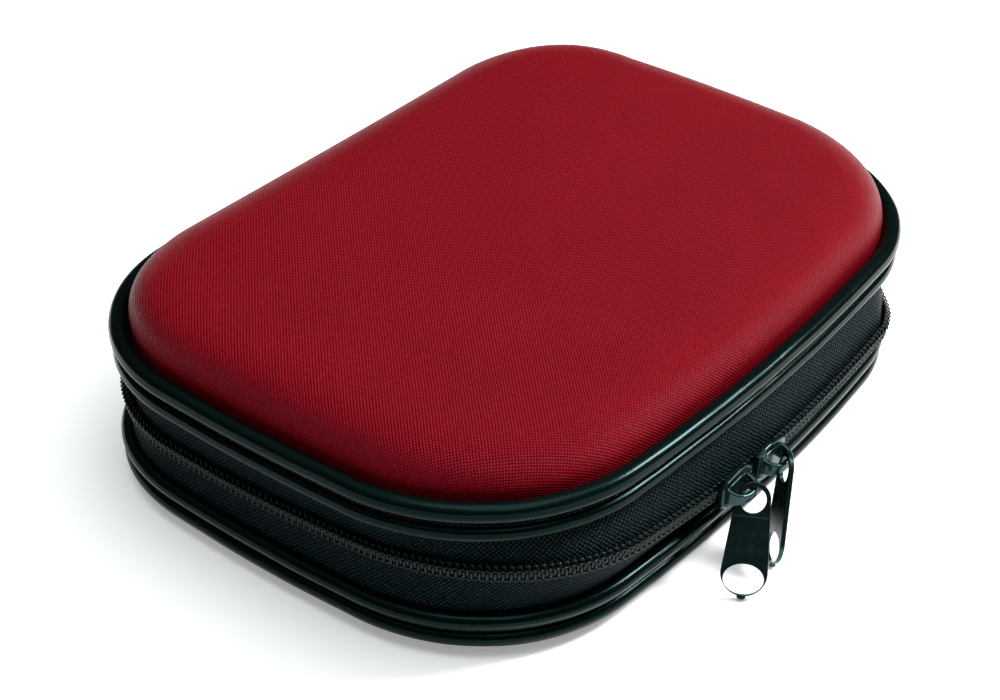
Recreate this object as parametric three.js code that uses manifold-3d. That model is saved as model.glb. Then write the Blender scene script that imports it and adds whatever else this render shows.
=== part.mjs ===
// Soft zip-round first aid kit, closed, millimetres, +Z up, resting on z = 0.
// X runs along the case, -Y is the side with the two zip sliders, +Y is the hinge side.
import * as THREE from 'three';
import Module from 'manifold-3d';
import { mergeVertices } from 'three/addons/utils/BufferGeometryUtils.js';

const wasm = await Module();
wasm.setup();

// ---- driving dimensions -------------------------------------------------
const HALF_LENGTH = 85;
const HALF_WIDTH = 62.5;
const FRONT_ARC_R = 500;
const SIDE_ARC_R = 366;
const FRONT_CORNER_R = 42;
const BACK_CORNER_R = 38.5;
const HEIGHT = 44.8;

const PIVOT_Z = 19.2;

const BEAD = {
  lid_piping_upper: { inset: 2.15, z: 34.5, r: 2.15 },
  lid_piping_lower: { inset: 2.23, z: 29.8, r: 1.9 },
  base_piping_upper: { inset: 2.23, z: 8.65, r: 1.9 },
  base_piping_lower: { inset: 2.9, z: 4.75, r: 1.6 },
};
const BEAD_SIDES = 8;

const LID_EDGE = { inset: 4.6, foot: 9.2, wallEnd: 28.2 };
const BASE_EDGE = { inset: 5.0, foot: 5.4, wallEnd: 10.3 };
const WALL = 2.2;
const LINING = 0.6;
const GAP = 0.3;
const TAPE_T = 0.8;
const TAPE_INSET = 3.0;
const LID_TAPE_TOP = 27.7;
const BASE_TAPE_BOTTOM = 10.75;
const COIL_HEIGHT = 2.3;
const COIL_DEPTH = 1.5;
const COIL_HALF_GAP = 0.15;
const BULGE_FRONT = 3.4;
const BULGE_LEFT = -1.0;
const BULGE_RIGHT = 1.0;

const SLIDER_X = { left: -20, right: -7.6 };
const SLIDER_LENGTH = 9.6;
const TAB_LENGTH = 21.6;
const TAB_TOP_WIDTH = 7.4;
const TAB_TIP_WIDTH = 9.5;
const TAB_T = 1.0;
const TAB_RIM = 1.0;
const EYE_TOP = 1.5;
const TAB_SHIFT = 0.5;

const BLACK_PVC = ['pvc', 0x0d1614, 0.28, 0];
const RED_CLOTH = ['red_cloth', 0x9a1226, 0.85, 0];
const LINING_CLOTH = ['lining', 0x1c1d20, 0.9, 0];
const TAPE_CLOTH = ['tape', 0x10181b, 0.85, 0];
const COIL_PLASTIC = ['coil', 0x12191b, 0.45, 0];
const GUNMETAL = ['gunmetal', 0x343f3e, 0.3, 0.8];
const NET = ['net', 0x17181a, 0.9, 0];
const ELASTIC = ['elastic', 0x202226, 0.9, 0];
const PAPER = ['paper', 0xeef0ee, 0.8, 0];
const FILM_BLUE = ['film_blue', 0x9fc0d6, 0.35, 0];
const FOIL = ['foil', 0xc9ced2, 0.4, 0];
const GAUZE = ['gauze', 0xf1ede2, 0.95, 0];
const PLASTER = ['plaster', 0xd8a47c, 0.8, 0];
const SPOOL = ['spool', 0xf2f2f0, 0.4, 0];
const STEEL = ['steel', 0xb9bcc0, 0.25, 0.9];

// ---- plan outline: five tangent arcs a side, symmetric left to right -----
// Each station holds a point on the outermost line and the outward normal there.
function arcMeeting(bigCentre, bigR, smallR, y) {
  const reach = bigR - smallR;
  return bigCentre.x - Math.sqrt(reach ** 2 - (y - bigCentre.y) ** 2);
}

function frontCornerCentre(front, side, r) {
  const d = Math.hypot(side.x - front.x, side.y - front.y);
  const r0 = FRONT_ARC_R - r;
  const r1 = SIDE_ARC_R - r;
  const along = (r0 ** 2 - r1 ** 2 + d ** 2) / (2 * d);
  const off = Math.sqrt(r0 ** 2 - along ** 2);
  const ux = (side.x - front.x) / d;
  const uy = (side.y - front.y) / d;
  return { x: front.x + ux * along + uy * off, y: front.y + uy * along - ux * off };
}

function arcStations(centre, r, from, to, count) {
  const list = [];
  for (let k = 0; k < count; k += 1) {
    const t = from + ((to - from) * k) / count;
    const n = { x: Math.cos(t), y: Math.sin(t) };
    list.push({ x: centre.x + r * n.x, y: centre.y + r * n.y, nx: n.x, ny: n.y });
  }
  return list;
}

function planOutline() {
  const front = { x: 0, y: FRONT_ARC_R - HALF_WIDTH };
  const rightSide = { x: HALF_LENGTH - SIDE_ARC_R, y: 0 };
  const leftSide = { x: -rightSide.x, y: 0 };
  const mirrored = frontCornerCentre(front, leftSide, FRONT_CORNER_R);
  const frontCorner = { x: Math.abs(mirrored.x), y: mirrored.y };
  const backY = HALF_WIDTH - BACK_CORNER_R;
  const backCorner = { x: -arcMeeting(leftSide, SIDE_ARC_R, BACK_CORNER_R, backY), y: backY };
  const angle = (c, p) => Math.atan2(p.y - c.y, p.x - c.x);
  const a0 = -Math.PI / 2;
  const a1 = angle(front, frontCorner);
  const a2 = angle(rightSide, frontCorner);
  const a3 = angle(rightSide, backCorner);
  const half = [
    ...arcStations(front, FRONT_ARC_R, a0, a1, 5),
    ...arcStations(frontCorner, FRONT_CORNER_R, a1, a2, 7),
    ...arcStations(rightSide, SIDE_ARC_R, a2, a3, 5),
    ...arcStations(backCorner, BACK_CORNER_R, a3, Math.PI / 2, 7),
    { x: backCorner.x, y: HALF_WIDTH, nx: 0, ny: 1 },
    { x: backCorner.x / 3, y: HALF_WIDTH, nx: 0, ny: 1 },
  ];
  const left = half.slice(1).reverse().map((s) => ({ x: -s.x, y: s.y, nx: -s.nx, ny: s.ny }));
  return [...half, ...left];
}

const OUTLINE = planOutline();
const BACK_FIRST = OUTLINE.findIndex((s) => s.ny === 1);
const BACK_LAST = OUTLINE.length - BACK_FIRST;

function gussetBulge(s, z) {
  const side = s.nx < 0 ? BULGE_LEFT : BULGE_RIGHT;
  const peak = BULGE_FRONT * Math.max(0, -s.ny) ** 2 + side * s.nx ** 2;
  const span = z > PIVOT_Z ? LID_TAPE_TOP - PIVOT_Z : PIVOT_Z - BASE_TAPE_BOTTOM;
  const t = Math.min(1, Math.abs(z - PIVOT_Z) / span);
  return peak * (1 - t * t);
}

function ringPoint(s, inset, z, shrink = 0) {
  const k = 1 - shrink;
  return [(s.x - s.nx * inset) * k, (s.y - s.ny * inset) * k, z];
}

// ---- mesh helpers ---------------------------------------------------------
function geometryOf(points, triangles) {
  const geometry = new THREE.BufferGeometry();
  geometry.setAttribute('position', new THREE.Float32BufferAttribute(points.flat(), 3));
  geometry.setIndex(triangles.flat());
  geometry.computeVertexNormals();
  return geometry;
}

// Sweeps a profile polygon through a list of stations; profile(s) gives [inset, z] pairs.
function sweep(stations, profile, closed) {
  const rows = stations.map((s) => profile(s).map(([inset, z]) => ringPoint(s, inset, z)));
  const m = rows[0].length;
  const n = rows.length;
  const triangles = [];
  for (let i = 0; i < (closed ? n : n - 1); i += 1) {
    const j = (i + 1) % n;
    for (let k = 0; k < m; k += 1) {
      const l = (k + 1) % m;
      triangles.push([i * m + k, j * m + k, j * m + l], [i * m + k, j * m + l, i * m + l]);
    }
  }
  if (!closed) {
    const flat = profile(stations[0]).map(([inset, z]) => new THREE.Vector2(inset, z));
    const anticlockwise = THREE.ShapeUtils.area(flat) > 0;
    THREE.ShapeUtils.triangulateShape(flat, []).forEach(([a, b, c]) => {
      const turn = (flat[b].x - flat[a].x) * (flat[c].y - flat[a].y)
        - (flat[c].x - flat[a].x) * (flat[b].y - flat[a].y);
      const face = (turn > 0) === anticlockwise ? [a, b, c] : [a, c, b];
      const end = (n - 1) * m;
      triangles.push([face[0], face[1], face[2]]);
      triangles.push([end + face[0], end + face[2], end + face[1]]);
    });
  }
  return faceOut(geometryOf(rows.flat(), triangles));
}

function signedVolume(geometry) {
  const p = geometry.getAttribute('position');
  const index = geometry.getIndex().array;
  const at = (i) => new THREE.Vector3().fromBufferAttribute(p, i);
  let sum = 0;
  for (let i = 0; i < index.length; i += 3) {
    sum += at(index[i]).dot(at(index[i + 1]).cross(at(index[i + 2])));
  }
  return sum / 6;
}

function faceOut(geometry) {
  if (signedVolume(geometry) > 0) {
    return geometry;
  }
  const index = geometry.getIndex().array;
  for (let i = 0; i < index.length; i += 3) {
    [index[i + 1], index[i + 2]] = [index[i + 2], index[i + 1]];
  }
  geometry.computeVertexNormals();
  return geometry;
}

// A closed skin from rings of the outline, starting and ending at a centre point.
function panel(rings) {
  const n = OUTLINE.length;
  const points = [[0, 0, rings[0].z]];
  rings.forEach((r) => OUTLINE.forEach((s) => points.push(ringPoint(s, r.inset, r.z, r.shrink))));
  points.push([0, 0, rings[rings.length - 1].z]);
  const triangles = [];
  const last = points.length - 1;
  for (let i = 0; i < n; i += 1) {
    const j = (i + 1) % n;
    triangles.push([0, 1 + i, 1 + j]);
    for (let r = 0; r + 1 < rings.length; r += 1) {
      const a = 1 + r * n;
      const b = a + n;
      triangles.push([a + i, b + i, b + j], [a + i, b + j, a + j]);
    }
    const e = 1 + (rings.length - 1) * n;
    triangles.push([e + j, e + i, last]);
  }
  return faceOut(geometryOf(points, triangles));
}

function toSolid(geometry) {
  const bare = geometry.clone();
  bare.deleteAttribute('normal');
  bare.deleteAttribute('uv');
  const merged = mergeVertices(bare, 1e-4);
  return new wasm.Manifold(new wasm.Mesh({
    numProp: 3,
    vertProperties: new Float32Array(merged.getAttribute('position').array),
    triVerts: new Uint32Array(merged.getIndex().array),
  }));
}

function toGeometry(solid) {
  const mesh = solid.getMesh();
  const geometry = new THREE.BufferGeometry();
  geometry.setAttribute('position', new THREE.BufferAttribute(new Float32Array(mesh.vertProperties), 3));
  geometry.setIndex(new THREE.BufferAttribute(new Uint32Array(mesh.triVerts), 1));
  geometry.computeVertexNormals();
  return geometry;
}

function extruded(outline, depth, holes = []) {
  const shape = new THREE.Shape(outline.map(([x, y]) => new THREE.Vector2(x, y)));
  holes.forEach((hole) => {
    shape.holes.push(new THREE.Path(hole.map(([x, y]) => new THREE.Vector2(x, y))));
  });
  return new THREE.ExtrudeGeometry(shape, { depth, bevelEnabled: false });
}

function ellipse(cx, cy, rx, ry, count) {
  return Array.from({ length: count }, (_, k) => {
    const t = (2 * Math.PI * k) / count;
    return [cx + rx * Math.cos(t), cy + ry * Math.sin(t)];
  });
}

function box(x0, x1, y0, y1, z0, z1) {
  const geometry = new THREE.BoxGeometry(x1 - x0, y1 - y0, z1 - z0);
  return geometry.translate((x0 + x1) / 2, (y0 + y1) / 2, (z0 + z1) / 2);
}

// A flat packet with rounded corners, lying at z0.
function packet(cx, cy, length, width, z0, height, corner = 2) {
  const a = length / 2 - corner;
  const b = width / 2 - corner;
  const points = [];
  [[a, b], [-a, b], [-a, -b], [a, -b]].forEach(([x, y], q) => {
    for (let k = 0; k <= 2; k += 1) {
      const t = (q + k / 2) * (Math.PI / 2);
      points.push([cx + x + corner * Math.cos(t), cy + y + corner * Math.sin(t)]);
    }
  });
  return extruded(points, height).translate(0, 0, z0);
}

function drum(r, length, count, bore = 0) {
  const half = length / 2;
  const profile = [[bore, -half], [r, -half], [r, half], [bore, half]];
  const points = profile.map(([x, y]) => new THREE.Vector2(x, y));
  if (bore > 0) {
    points.push(points[0].clone());
  }
  return new THREE.LatheGeometry(points, count);
}

// ---- the case -------------------------------------------------------------
// Rings of a moulded panel: rise is measured from its crown towards the zip.
function panelRings({ inset, foot, wallEnd }, z) {
  const shoulder = foot * 0.62;
  return [
    { inset: 20, shrink: 0.5, z: z(0) },
    { inset: 20, shrink: 0, z: z(0) },
    { inset: 13, shrink: 0, z: z(0.35) },
    { inset: 9.2, shrink: 0, z: z(1.2) },
    { inset: inset + 2, shrink: 0, z: z(Math.min(3, shoulder - 0.9)) },
    { inset: inset + 0.4, shrink: 0, z: z(shoulder) },
    { inset, shrink: 0, z: z(foot) },
    { inset, shrink: 0, z: wallEnd },
    { inset: inset + WALL, shrink: 0, z: wallEnd },
    { inset: inset + 0.6 + WALL, shrink: 0, z: z(shoulder + WALL / 2) },
    { inset: 11, shrink: 0, z: z(1.2 + WALL) },
    { inset: 20, shrink: 0, z: z(WALL) },
    { inset: 20, shrink: 0.5, z: z(WALL) },
  ];
}

function liningRings({ inset, foot, wallEnd }, z) {
  const skin = WALL + GAP;
  const side = foot * 0.62 + skin * 0.6;
  const face = (extra) => [
    { inset: 20, shrink: 0.5, z: z(skin + extra) },
    { inset: 20.3, shrink: 0, z: z(skin + extra) },
    { inset: 11.4 + extra * 0.7, shrink: 0, z: z(1.3 + skin + extra) },
    { inset: inset + 0.6 + skin + extra, shrink: 0, z: z(side + extra) },
    { inset: inset + skin + extra, shrink: 0, z: wallEnd },
  ];
  return [...face(0), ...face(LINING).reverse()];
}

function piping({ inset, z, r }) {
  return sweep(OUTLINE, () => Array.from({ length: BEAD_SIDES }, (_, k) => {
    const t = (2 * Math.PI * (k + 0.5)) / BEAD_SIDES;
    return [inset + r * Math.cos(t), z + r * Math.sin(t)];
  }), true);
}

function edgeBand(z) {
  return sweep(OUTLINE, () => [[1.9, z - 0.15], [4.2, z - 0.15], [4.2, z + 0.15], [1.9, z + 0.15]], true);
}

const ZIP_STATIONS = [...OUTLINE.slice(BACK_LAST), ...OUTLINE.slice(0, BACK_FIRST + 1)];
const HINGE_STATIONS = OUTLINE.slice(BACK_FIRST, BACK_LAST + 1)
  .map((st) => ({ ...st, x: st.x - Math.sign(st.x) * (Math.abs(st.x) > 20 ? GAP : 0) }));

// The tape stands behind its piping at the far edge and follows the gusset's bulge.
function tapeProfile(s, levels) {
  const out = levels.map((z) => [TAPE_INSET - gussetBulge(s, z), z]);
  const back = [...out].reverse().map(([inset, z]) => [inset + TAPE_T, z]);
  return [...out, ...back];
}

function zipTape(levels) {
  return sweep(ZIP_STATIONS, (s) => tapeProfile(s, levels), false);
}

function zipCoil(low) {
  return sweep(ZIP_STATIONS, (s) => {
    const face = TAPE_INSET - gussetBulge(s, PIVOT_Z) - 0.3;
    return [[face - COIL_DEPTH, low + 0.4], [face - COIL_DEPTH, low + COIL_HEIGHT - 0.4],
      [face - COIL_DEPTH * 0.5, low + COIL_HEIGHT], [face, low + COIL_HEIGHT],
      [face, low], [face - COIL_DEPTH * 0.5, low]];
  }, false);
}

function hingeTape(levels) {
  return sweep(HINGE_STATIONS, () => {
    const out = levels.map((z) => [TAPE_INSET - 0.4, z]);
    return [...out, ...[...out].reverse().map(([inset, z]) => [inset + 1.2, z])];
  }, false);
}

// ---- zip sliders and their pull tabs ---------------------------------------
const CHAIN_FACE = TAPE_INSET - BULGE_FRONT - 0.3 - COIL_DEPTH;
const PLATE_INNER = CHAIN_FACE - 0.25;
const PLATE_OUTER = PLATE_INNER - 1.2;
const STRAP_OUT = 3.15;

function frontPlaneY(x) {
  return FRONT_ARC_R - HALF_WIDTH - Math.sqrt(FRONT_ARC_R ** 2 - x * x);
}

// A plate with the given outline in x and z, between two depths.
function plate(outline, y0, y1) {
  return extruded(outline, y1 - y0).rotateX(Math.PI / 2).translate(0, y1, 0);
}

// The slider is built at the origin: x along the chain, -y outward, z up from mid-gusset.
function sliderBody(nose) {
  const half = SLIDER_LENGTH / 2;
  const outline = [[-half, -2.4], [half * 0.25, -4], [half, -3], [half, 3], [half * 0.25, 4], [-half, 2.4]];
  const inner = [[-half, -2], [half, -3], [half, 3], [-half, 2]];
  const parts = [
    plate(inner, 1.25, 2.1),
    box(half - 3, half - 0.5, PLATE_INNER - 0.2, 1.4, -0.07, 0.07),
    box(-half * 0.8, half * 0.6, PLATE_INNER - 0.6, PLATE_INNER + 1, -3.5, -2.75),
  ];
  const solid = parts.reduce((sum, g) => sum.add(toSolid(g)), toSolid(plate(outline, PLATE_OUTER, PLATE_INNER)));
  const full = solid.add(bailStrap());
  return toGeometry(nose < 0 ? full.mirror([1, 0, 0]) : full);
}

// The arched strap the pull tab hangs on, standing on the outer plate.
function bailStrap() {
  const arch = [[-3.9, 0.3], [-3.9, -0.9], [-3.2, -3.7], [3.2, -3.7], [3.9, -0.9], [3.9, 0.3]];
  const hollow = [[-2.9, 0], [-2.9, -0.9], [-2.5, -2.6], [2.5, -2.6], [2.9, -0.9], [2.9, 0]];
  const block = extruded(arch, 1.5).translate(0, PLATE_OUTER, -0.75);
  const cut = extruded(hollow, 3).translate(0, PLATE_OUTER, -1.5);
  return toSolid(block).subtract(toSolid(cut));
}

// Flat tab with an eye at the top and a large hole at the tip; the strap passes at the origin.
function pullTab() {
  const top = TAB_TOP_WIDTH / 2;
  const tip = TAB_TIP_WIDTH / 2;
  const low = EYE_TOP + TAB_RIM - TAB_LENGTH;
  const upper = Array.from({ length: 9 }, (_, k) => [top * Math.cos((Math.PI * k) / 8),
    EYE_TOP + TAB_RIM - top + top * Math.sin((Math.PI * k) / 8)]);
  const lower = Array.from({ length: 9 }, (_, k) => [-tip * Math.cos((Math.PI * k) / 8),
    low + tip - tip * Math.sin((Math.PI * k) / 8)]);
  const nub = [[-0.8, low + 0.4], [-0.6, low - 0.7], [0.6, low - 0.7], [0.8, low + 0.4]];
  const sheet = extruded([...upper, ...lower], TAB_T, [
    ellipse(0, EYE_TOP - 2.6, 2.75, 2.6, 14),
    ellipse(0, low + 3.7, tip - 0.6, 3.0, 18),
  ]);
  const tab = toGeometry(toSolid(sheet).add(toSolid(extruded(nub, TAB_T))));
  return tab.translate(TAB_SHIFT, 0, -TAB_T / 2);
}

// Hangs a tab from the strap of the slider at x: down is its long axis, faceTo its front.
function tabPlacement(x, down, faceTo) {
  const y = new THREE.Vector3(...down).normalize().negate();
  const z = new THREE.Vector3(...faceTo);
  z.addScaledVector(y, -z.dot(y)).normalize();
  const across = new THREE.Vector3().crossVectors(y, z);
  const turn = new THREE.Matrix4().makeBasis(across, y, z);
  const out = frontPlaneY(x) + PLATE_OUTER - STRAP_OUT;
  return new THREE.Matrix4().makeTranslation(x, out, PIVOT_Z).multiply(turn);
}

function addSlider(side, nose, down, faceTo) {
  const x = SLIDER_X[side];
  const turn = Math.asin(x / FRONT_ARC_R);
  const body = sliderBody(nose).rotateZ(turn).translate(x, frontPlaneY(x), PIVOT_Z);
  add(`slider_${side}`, body, GUNMETAL);
  add(`pull_tab_${side}`, pullTab().applyMatrix4(tabPlacement(x, down, faceTo)), GUNMETAL);
}

// ---- what the kit holds ------------------------------------------------------
const ROLL_R = 12;
const ROLL_LENGTH = 62;
const ROLL_X = 35;
const ROLL_Z = 16.6;
const SCISSOR_T = 1.4;
const SCISSOR_AT = [5, -4, 36.6];
const NET_EDGE_Y = -26;
const NET_Z = 33.9;

function rolledBandage(y) {
  return drum(ROLL_R, ROLL_LENGTH, 20).rotateZ(Math.PI / 2).translate(ROLL_X, y, ROLL_Z);
}

// The elastic is a flat band running up, over both rolls and down again.
function elasticLoop() {
  const foot = 4.2;
  const over = [[-46.6, foot], [-46.6, 18], [-43, 26.9], [-36, 29.8], [2, 29.8], [9, 26.9], [12.6, 18],
    [12.6, foot]];
  const under = [[11.8, foot], [11.8, 18], [8.4, 26.2], [1.8, 29], [-35.8, 29], [-42.4, 26.2],
    [-45.8, 18], [-45.8, foot]];
  const band = extruded([...over, ...under].reverse(), 18);
  return band.rotateX(Math.PI / 2).rotateZ(Math.PI / 2).translate(ROLL_X - 9, 0, 0);
}

// Half a pair of scissors: blade, shank and finger ring, with its pivot at the origin.
function scissorHalf(side) {
  const blade = [[-6, -2.6 * side], [8, -3.4 * side], [40, -0.3 * side], [40, 0.5 * side],
    [6, 2.6 * side], [-6, 3.8 * side], [-26, 7.4 * side], [-26, 3.6 * side]];
  const shank = extruded(side > 0 ? blade : [...blade].reverse(), SCISSOR_T);
  const bow = extruded(ellipse(-35, 7.4 * side, 11, 6.8, 18), SCISSOR_T, [
    ellipse(-35, 7.4 * side, 8.8, 4.6, 16),
  ]);
  const hole = drum(1.75, 6, 16).rotateX(Math.PI / 2);
  const finger = extruded(ellipse(-35, 7.4 * side, 8.8, 4.6, 16), 6).translate(0, 0, -2);
  return toSolid(shank).add(toSolid(bow)).subtract(toSolid(hole)).subtract(toSolid(finger));
}

function addScissors() {
  const top = SCISSOR_T + GAP;
  const lower = toGeometry(scissorHalf(1)).translate(...SCISSOR_AT);
  const upper = toGeometry(scissorHalf(-1)).translate(0, 0, top).translate(...SCISSOR_AT);
  const stack = top + SCISSOR_T;
  const disc = (r, z0, z1) => toSolid(drum(r, z1 - z0, 16).rotateX(Math.PI / 2).translate(0, 0, (z0 + z1) / 2));
  const rivet = disc(1.5, -0.5, stack + 0.5).add(disc(2.6, -1, -0.25)).add(disc(2.6, stack + 0.25, stack + 1));
  add('scissor_blade_lower', lower, STEEL);
  add('scissor_blade_upper', upper, STEEL);
  add('scissor_rivet', toGeometry(rivet).translate(...SCISSOR_AT), STEEL);
}

function tweezers() {
  const arm = (w) => [[-38, 0.5 + w], [30, 2.6 + w], [39, 2.2 + w], [40.8 + w, 0]];
  const mirrored = (list) => list.slice(0, 3).reverse().map(([x, y]) => [x, -y]);
  const outer = [...arm(1), ...mirrored(arm(1))];
  const inner = [...arm(0), ...mirrored(arm(0))];
  return extruded([...outer, ...inner.reverse()].reverse(), 3);
}

function netPocket() {
  const whole = extruded(OUTLINE.map((s) => ringPoint(s, 8.6, 0).slice(0, 2)), 0.6);
  const keep = box(-HALF_LENGTH, HALF_LENGTH, NET_EDGE_Y, HALF_WIDTH, -1, 2);
  return toGeometry(toSolid(whole).intersect(toSolid(keep))).translate(0, 0, NET_Z);
}

function addContents() {
  add('glove_packet', packet(-35, 0, 60, 80, 4.9, 5), FILM_BLUE);
  add('triangular_bandage', packet(-35, 0, 58, 78, 10.2, 8), GAUZE);
  [18.5, 21.4].forEach((z, k) => add(`gauze_packet_${k + 1}`, packet(-38, 14, 50, 50, z, 2.6), PAPER));
  [18.5, 19.9, 21.3].forEach((z, k) => add(`plaster_${k + 1}`, packet(-35.5, -26, 70, 19, z, 1.1, 6), PLASTER));
  [4.9, 7.2, 9.5].forEach((z, k) => add(`wipe_sachet_${k + 1}`, packet(52, 27, 28, 26, z, 2), FOIL));
  [-30, -4].forEach((y, k) => add(`roll_bandage_${k + 1}`, rolledBandage(y), GAUZE));
  add('elastic_loop', elasticLoop(), ELASTIC);
  add('tape_roll', drum(16, 12.5, 24, 8.4).rotateX(Math.PI / 2).translate(20, 31, 10.7), PAPER);
  add('tape_spool', drum(8.1, 12.5, 20, 6.9).rotateX(Math.PI / 2).translate(20, 31, 10.7), SPOOL);
  addScissors();
  add('tweezers', tweezers().translate(0, 24, 36.4), STEEL);
  add('net_pocket', netPocket(), NET);
  add('net_pocket_binding', box(-62, 62, NET_EDGE_Y - 3.2, NET_EDGE_Y - 0.3, NET_Z - 0.3, NET_Z + 0.9), ELASTIC);
}

// ---- assembly ----------------------------------------------------------------
const kit = new THREE.Group();
kit.name = 'first_aid_kit';

function add(name, geometry, [slot, colour, roughness, metalness]) {
  const material = new THREE.MeshStandardMaterial({ color: colour, roughness, metalness });
  material.name = slot;
  const mesh = new THREE.Mesh(geometry, material);
  mesh.name = name;
  kit.add(mesh);
}

function addCase() {
  const lidZ = (rise) => HEIGHT - rise;
  const baseZ = (rise) => rise;
  add('lid_cover', panel(panelRings(LID_EDGE, lidZ)), RED_CLOTH);
  add('lid_lining', panel(liningRings(LID_EDGE, lidZ)), LINING_CLOTH);
  add('base_cover', panel(panelRings(BASE_EDGE, baseZ)), RED_CLOTH);
  add('base_lining', panel(liningRings(BASE_EDGE, baseZ)), LINING_CLOTH);
  Object.entries(BEAD).forEach(([name, bead]) => add(name, piping(bead), BLACK_PVC));
  add('lid_edge_band', edgeBand(32.03), TAPE_CLOTH);
  add('base_edge_band', edgeBand(6.56), TAPE_CLOTH);
}

// Zip tapes and coils run round the front and both ends; the hinge tape closes the back.
function addGusset() {
  const near = COIL_HALF_GAP;
  const lidLevels = [PIVOT_Z + near, 22, 24.8, LID_TAPE_TOP];
  const baseLevels = [BASE_TAPE_BOTTOM, 13.6, 16.4, PIVOT_Z - near];
  add('zip_tape_lid', zipTape(lidLevels), TAPE_CLOTH);
  add('zip_tape_base', zipTape(baseLevels), TAPE_CLOTH);
  add('zip_coil_lid', zipCoil(PIVOT_Z + near), COIL_PLASTIC);
  add('zip_coil_base', zipCoil(PIVOT_Z - near - COIL_HEIGHT), COIL_PLASTIC);
  add('hinge_tape_lid', hingeTape([PIVOT_Z + near, LID_TAPE_TOP]), TAPE_CLOTH);
  add('hinge_tape_base', hingeTape([BASE_TAPE_BOTTOM, PIVOT_Z - near]), TAPE_CLOTH);
}

addCase();
addGusset();
addSlider('left', 1, [-0.376, -0.153, -0.914], [-0.7, -0.5, 0.5]);
addSlider('right', -1, [-0.31, -0.161, -0.934], [-0.827, 0.514, 0.218]);
addContents();
export default kit;
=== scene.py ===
import math

import bmesh
import bpy
import numpy as np
from mathutils import Matrix, Vector


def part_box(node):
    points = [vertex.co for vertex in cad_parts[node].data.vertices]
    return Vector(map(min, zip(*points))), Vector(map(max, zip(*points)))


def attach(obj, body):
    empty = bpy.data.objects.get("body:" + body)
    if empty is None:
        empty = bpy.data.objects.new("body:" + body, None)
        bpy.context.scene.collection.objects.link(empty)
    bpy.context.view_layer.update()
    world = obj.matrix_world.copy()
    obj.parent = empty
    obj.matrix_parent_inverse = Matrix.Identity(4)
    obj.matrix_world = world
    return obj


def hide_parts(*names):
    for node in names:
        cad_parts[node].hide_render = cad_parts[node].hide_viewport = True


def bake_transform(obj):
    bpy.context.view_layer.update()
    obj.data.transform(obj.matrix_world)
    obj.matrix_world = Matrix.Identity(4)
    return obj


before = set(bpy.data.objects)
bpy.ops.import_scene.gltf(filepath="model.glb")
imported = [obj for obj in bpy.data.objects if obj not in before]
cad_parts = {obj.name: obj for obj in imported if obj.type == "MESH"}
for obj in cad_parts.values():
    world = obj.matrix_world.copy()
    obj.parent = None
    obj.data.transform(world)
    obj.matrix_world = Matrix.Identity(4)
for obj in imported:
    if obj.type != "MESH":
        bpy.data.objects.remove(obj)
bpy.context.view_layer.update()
MM = 0.001
RNG = np.random.default_rng(11)

# ---- dimensions in millimetres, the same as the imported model's ---------------
HALF_LENGTH = 85.0
HALF_WIDTH = 62.5
FRONT_ARC_R = 500.0
SIDE_ARC_R = 366.0
FRONT_CORNER_R = 42.0
BACK_CORNER_R = 38.5
PIVOT_Z = 19.2
TAPE_INSET = 3.0
TAPE_T = 0.8
BULGE_FRONT = 3.4
BULGE_LEFT = -1.0
# how far the zip stands out round the right half, against the wall's facing angle in degrees
BULGE_RIGHT = [(-90, 3.4), (-84, 3.1), (-76, 1.7), (-66, -1.0), (-54, -3.4), (-35, -4.3),
               (-10, -4.1), (40, -3.9), (62, -1.9), (90, 0)]
# how far the base is set in under the lid at its -X end and at its +X end
BASE_TUCK = (1.1, 2.3)
SKIN_T = 2.2
LID_WALL_END = 28.2
BASE_WALL_END = 10.3
ZIP_GAP = 0.3
COIL_PITCH = 1.45
STRAP_OUT = 6.8
SLIDER_DROP = 0.9
# the lid's back shoulders: facing angle and spread in degrees, and how full each is
SHOULDERS = [(32, 36, 1.0), (140, 25, 0.55)]
# the raised back right corner of the lid
CORNER_AT = (62, 38)
CORNER_SPREAD = 38
CORNER_LIFT = 1.1
FLOOR_HALF = 3000.0

# ---- the camera: angles in degrees, lengths in millimetres ---------------------------
CAMERA_AZIMUTH = -53.667
CAMERA_ELEVATION = 34.664
CAMERA_ROLL = 1.642
CAMERA_DISTANCE = 434.335
CAMERA_TARGET = (-6.1, 2.553, 13.4)
LENS = 72.288


def node_z(node):
    """Lowest and highest z of a CAD node, in millimetres."""
    low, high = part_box(node)
    return low.z / MM, high.z / MM


HEIGHT = node_z("lid_cover")[1]
LID_TAPE_TOP = node_z("zip_tape_lid")[1]
BASE_TAPE_BOTTOM = node_z("zip_tape_base")[0]


# ---- plan outline --------------------------------------------------------------
def corner_centres():
    """Centres of the front right and back right corner arcs."""
    front = np.array([0, FRONT_ARC_R - HALF_WIDTH])
    side = np.array([SIDE_ARC_R - HALF_LENGTH, 0])
    r0, r1 = FRONT_ARC_R - FRONT_CORNER_R, SIDE_ARC_R - FRONT_CORNER_R
    d = np.hypot(*(side - front))
    u = (side - front) / d
    along = (r0 ** 2 - r1 ** 2 + d ** 2) / (2 * d)
    off = math.sqrt(r0 ** 2 - along ** 2)
    low = front + u * along + off * np.array([u[1], -u[0]])
    y = HALF_WIDTH - BACK_CORNER_R
    x = math.sqrt((SIDE_ARC_R - BACK_CORNER_R) ** 2 - y ** 2) - (SIDE_ARC_R - HALF_LENGTH)
    return np.array([abs(low[0]), low[1]]), np.array([x, y])


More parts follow.
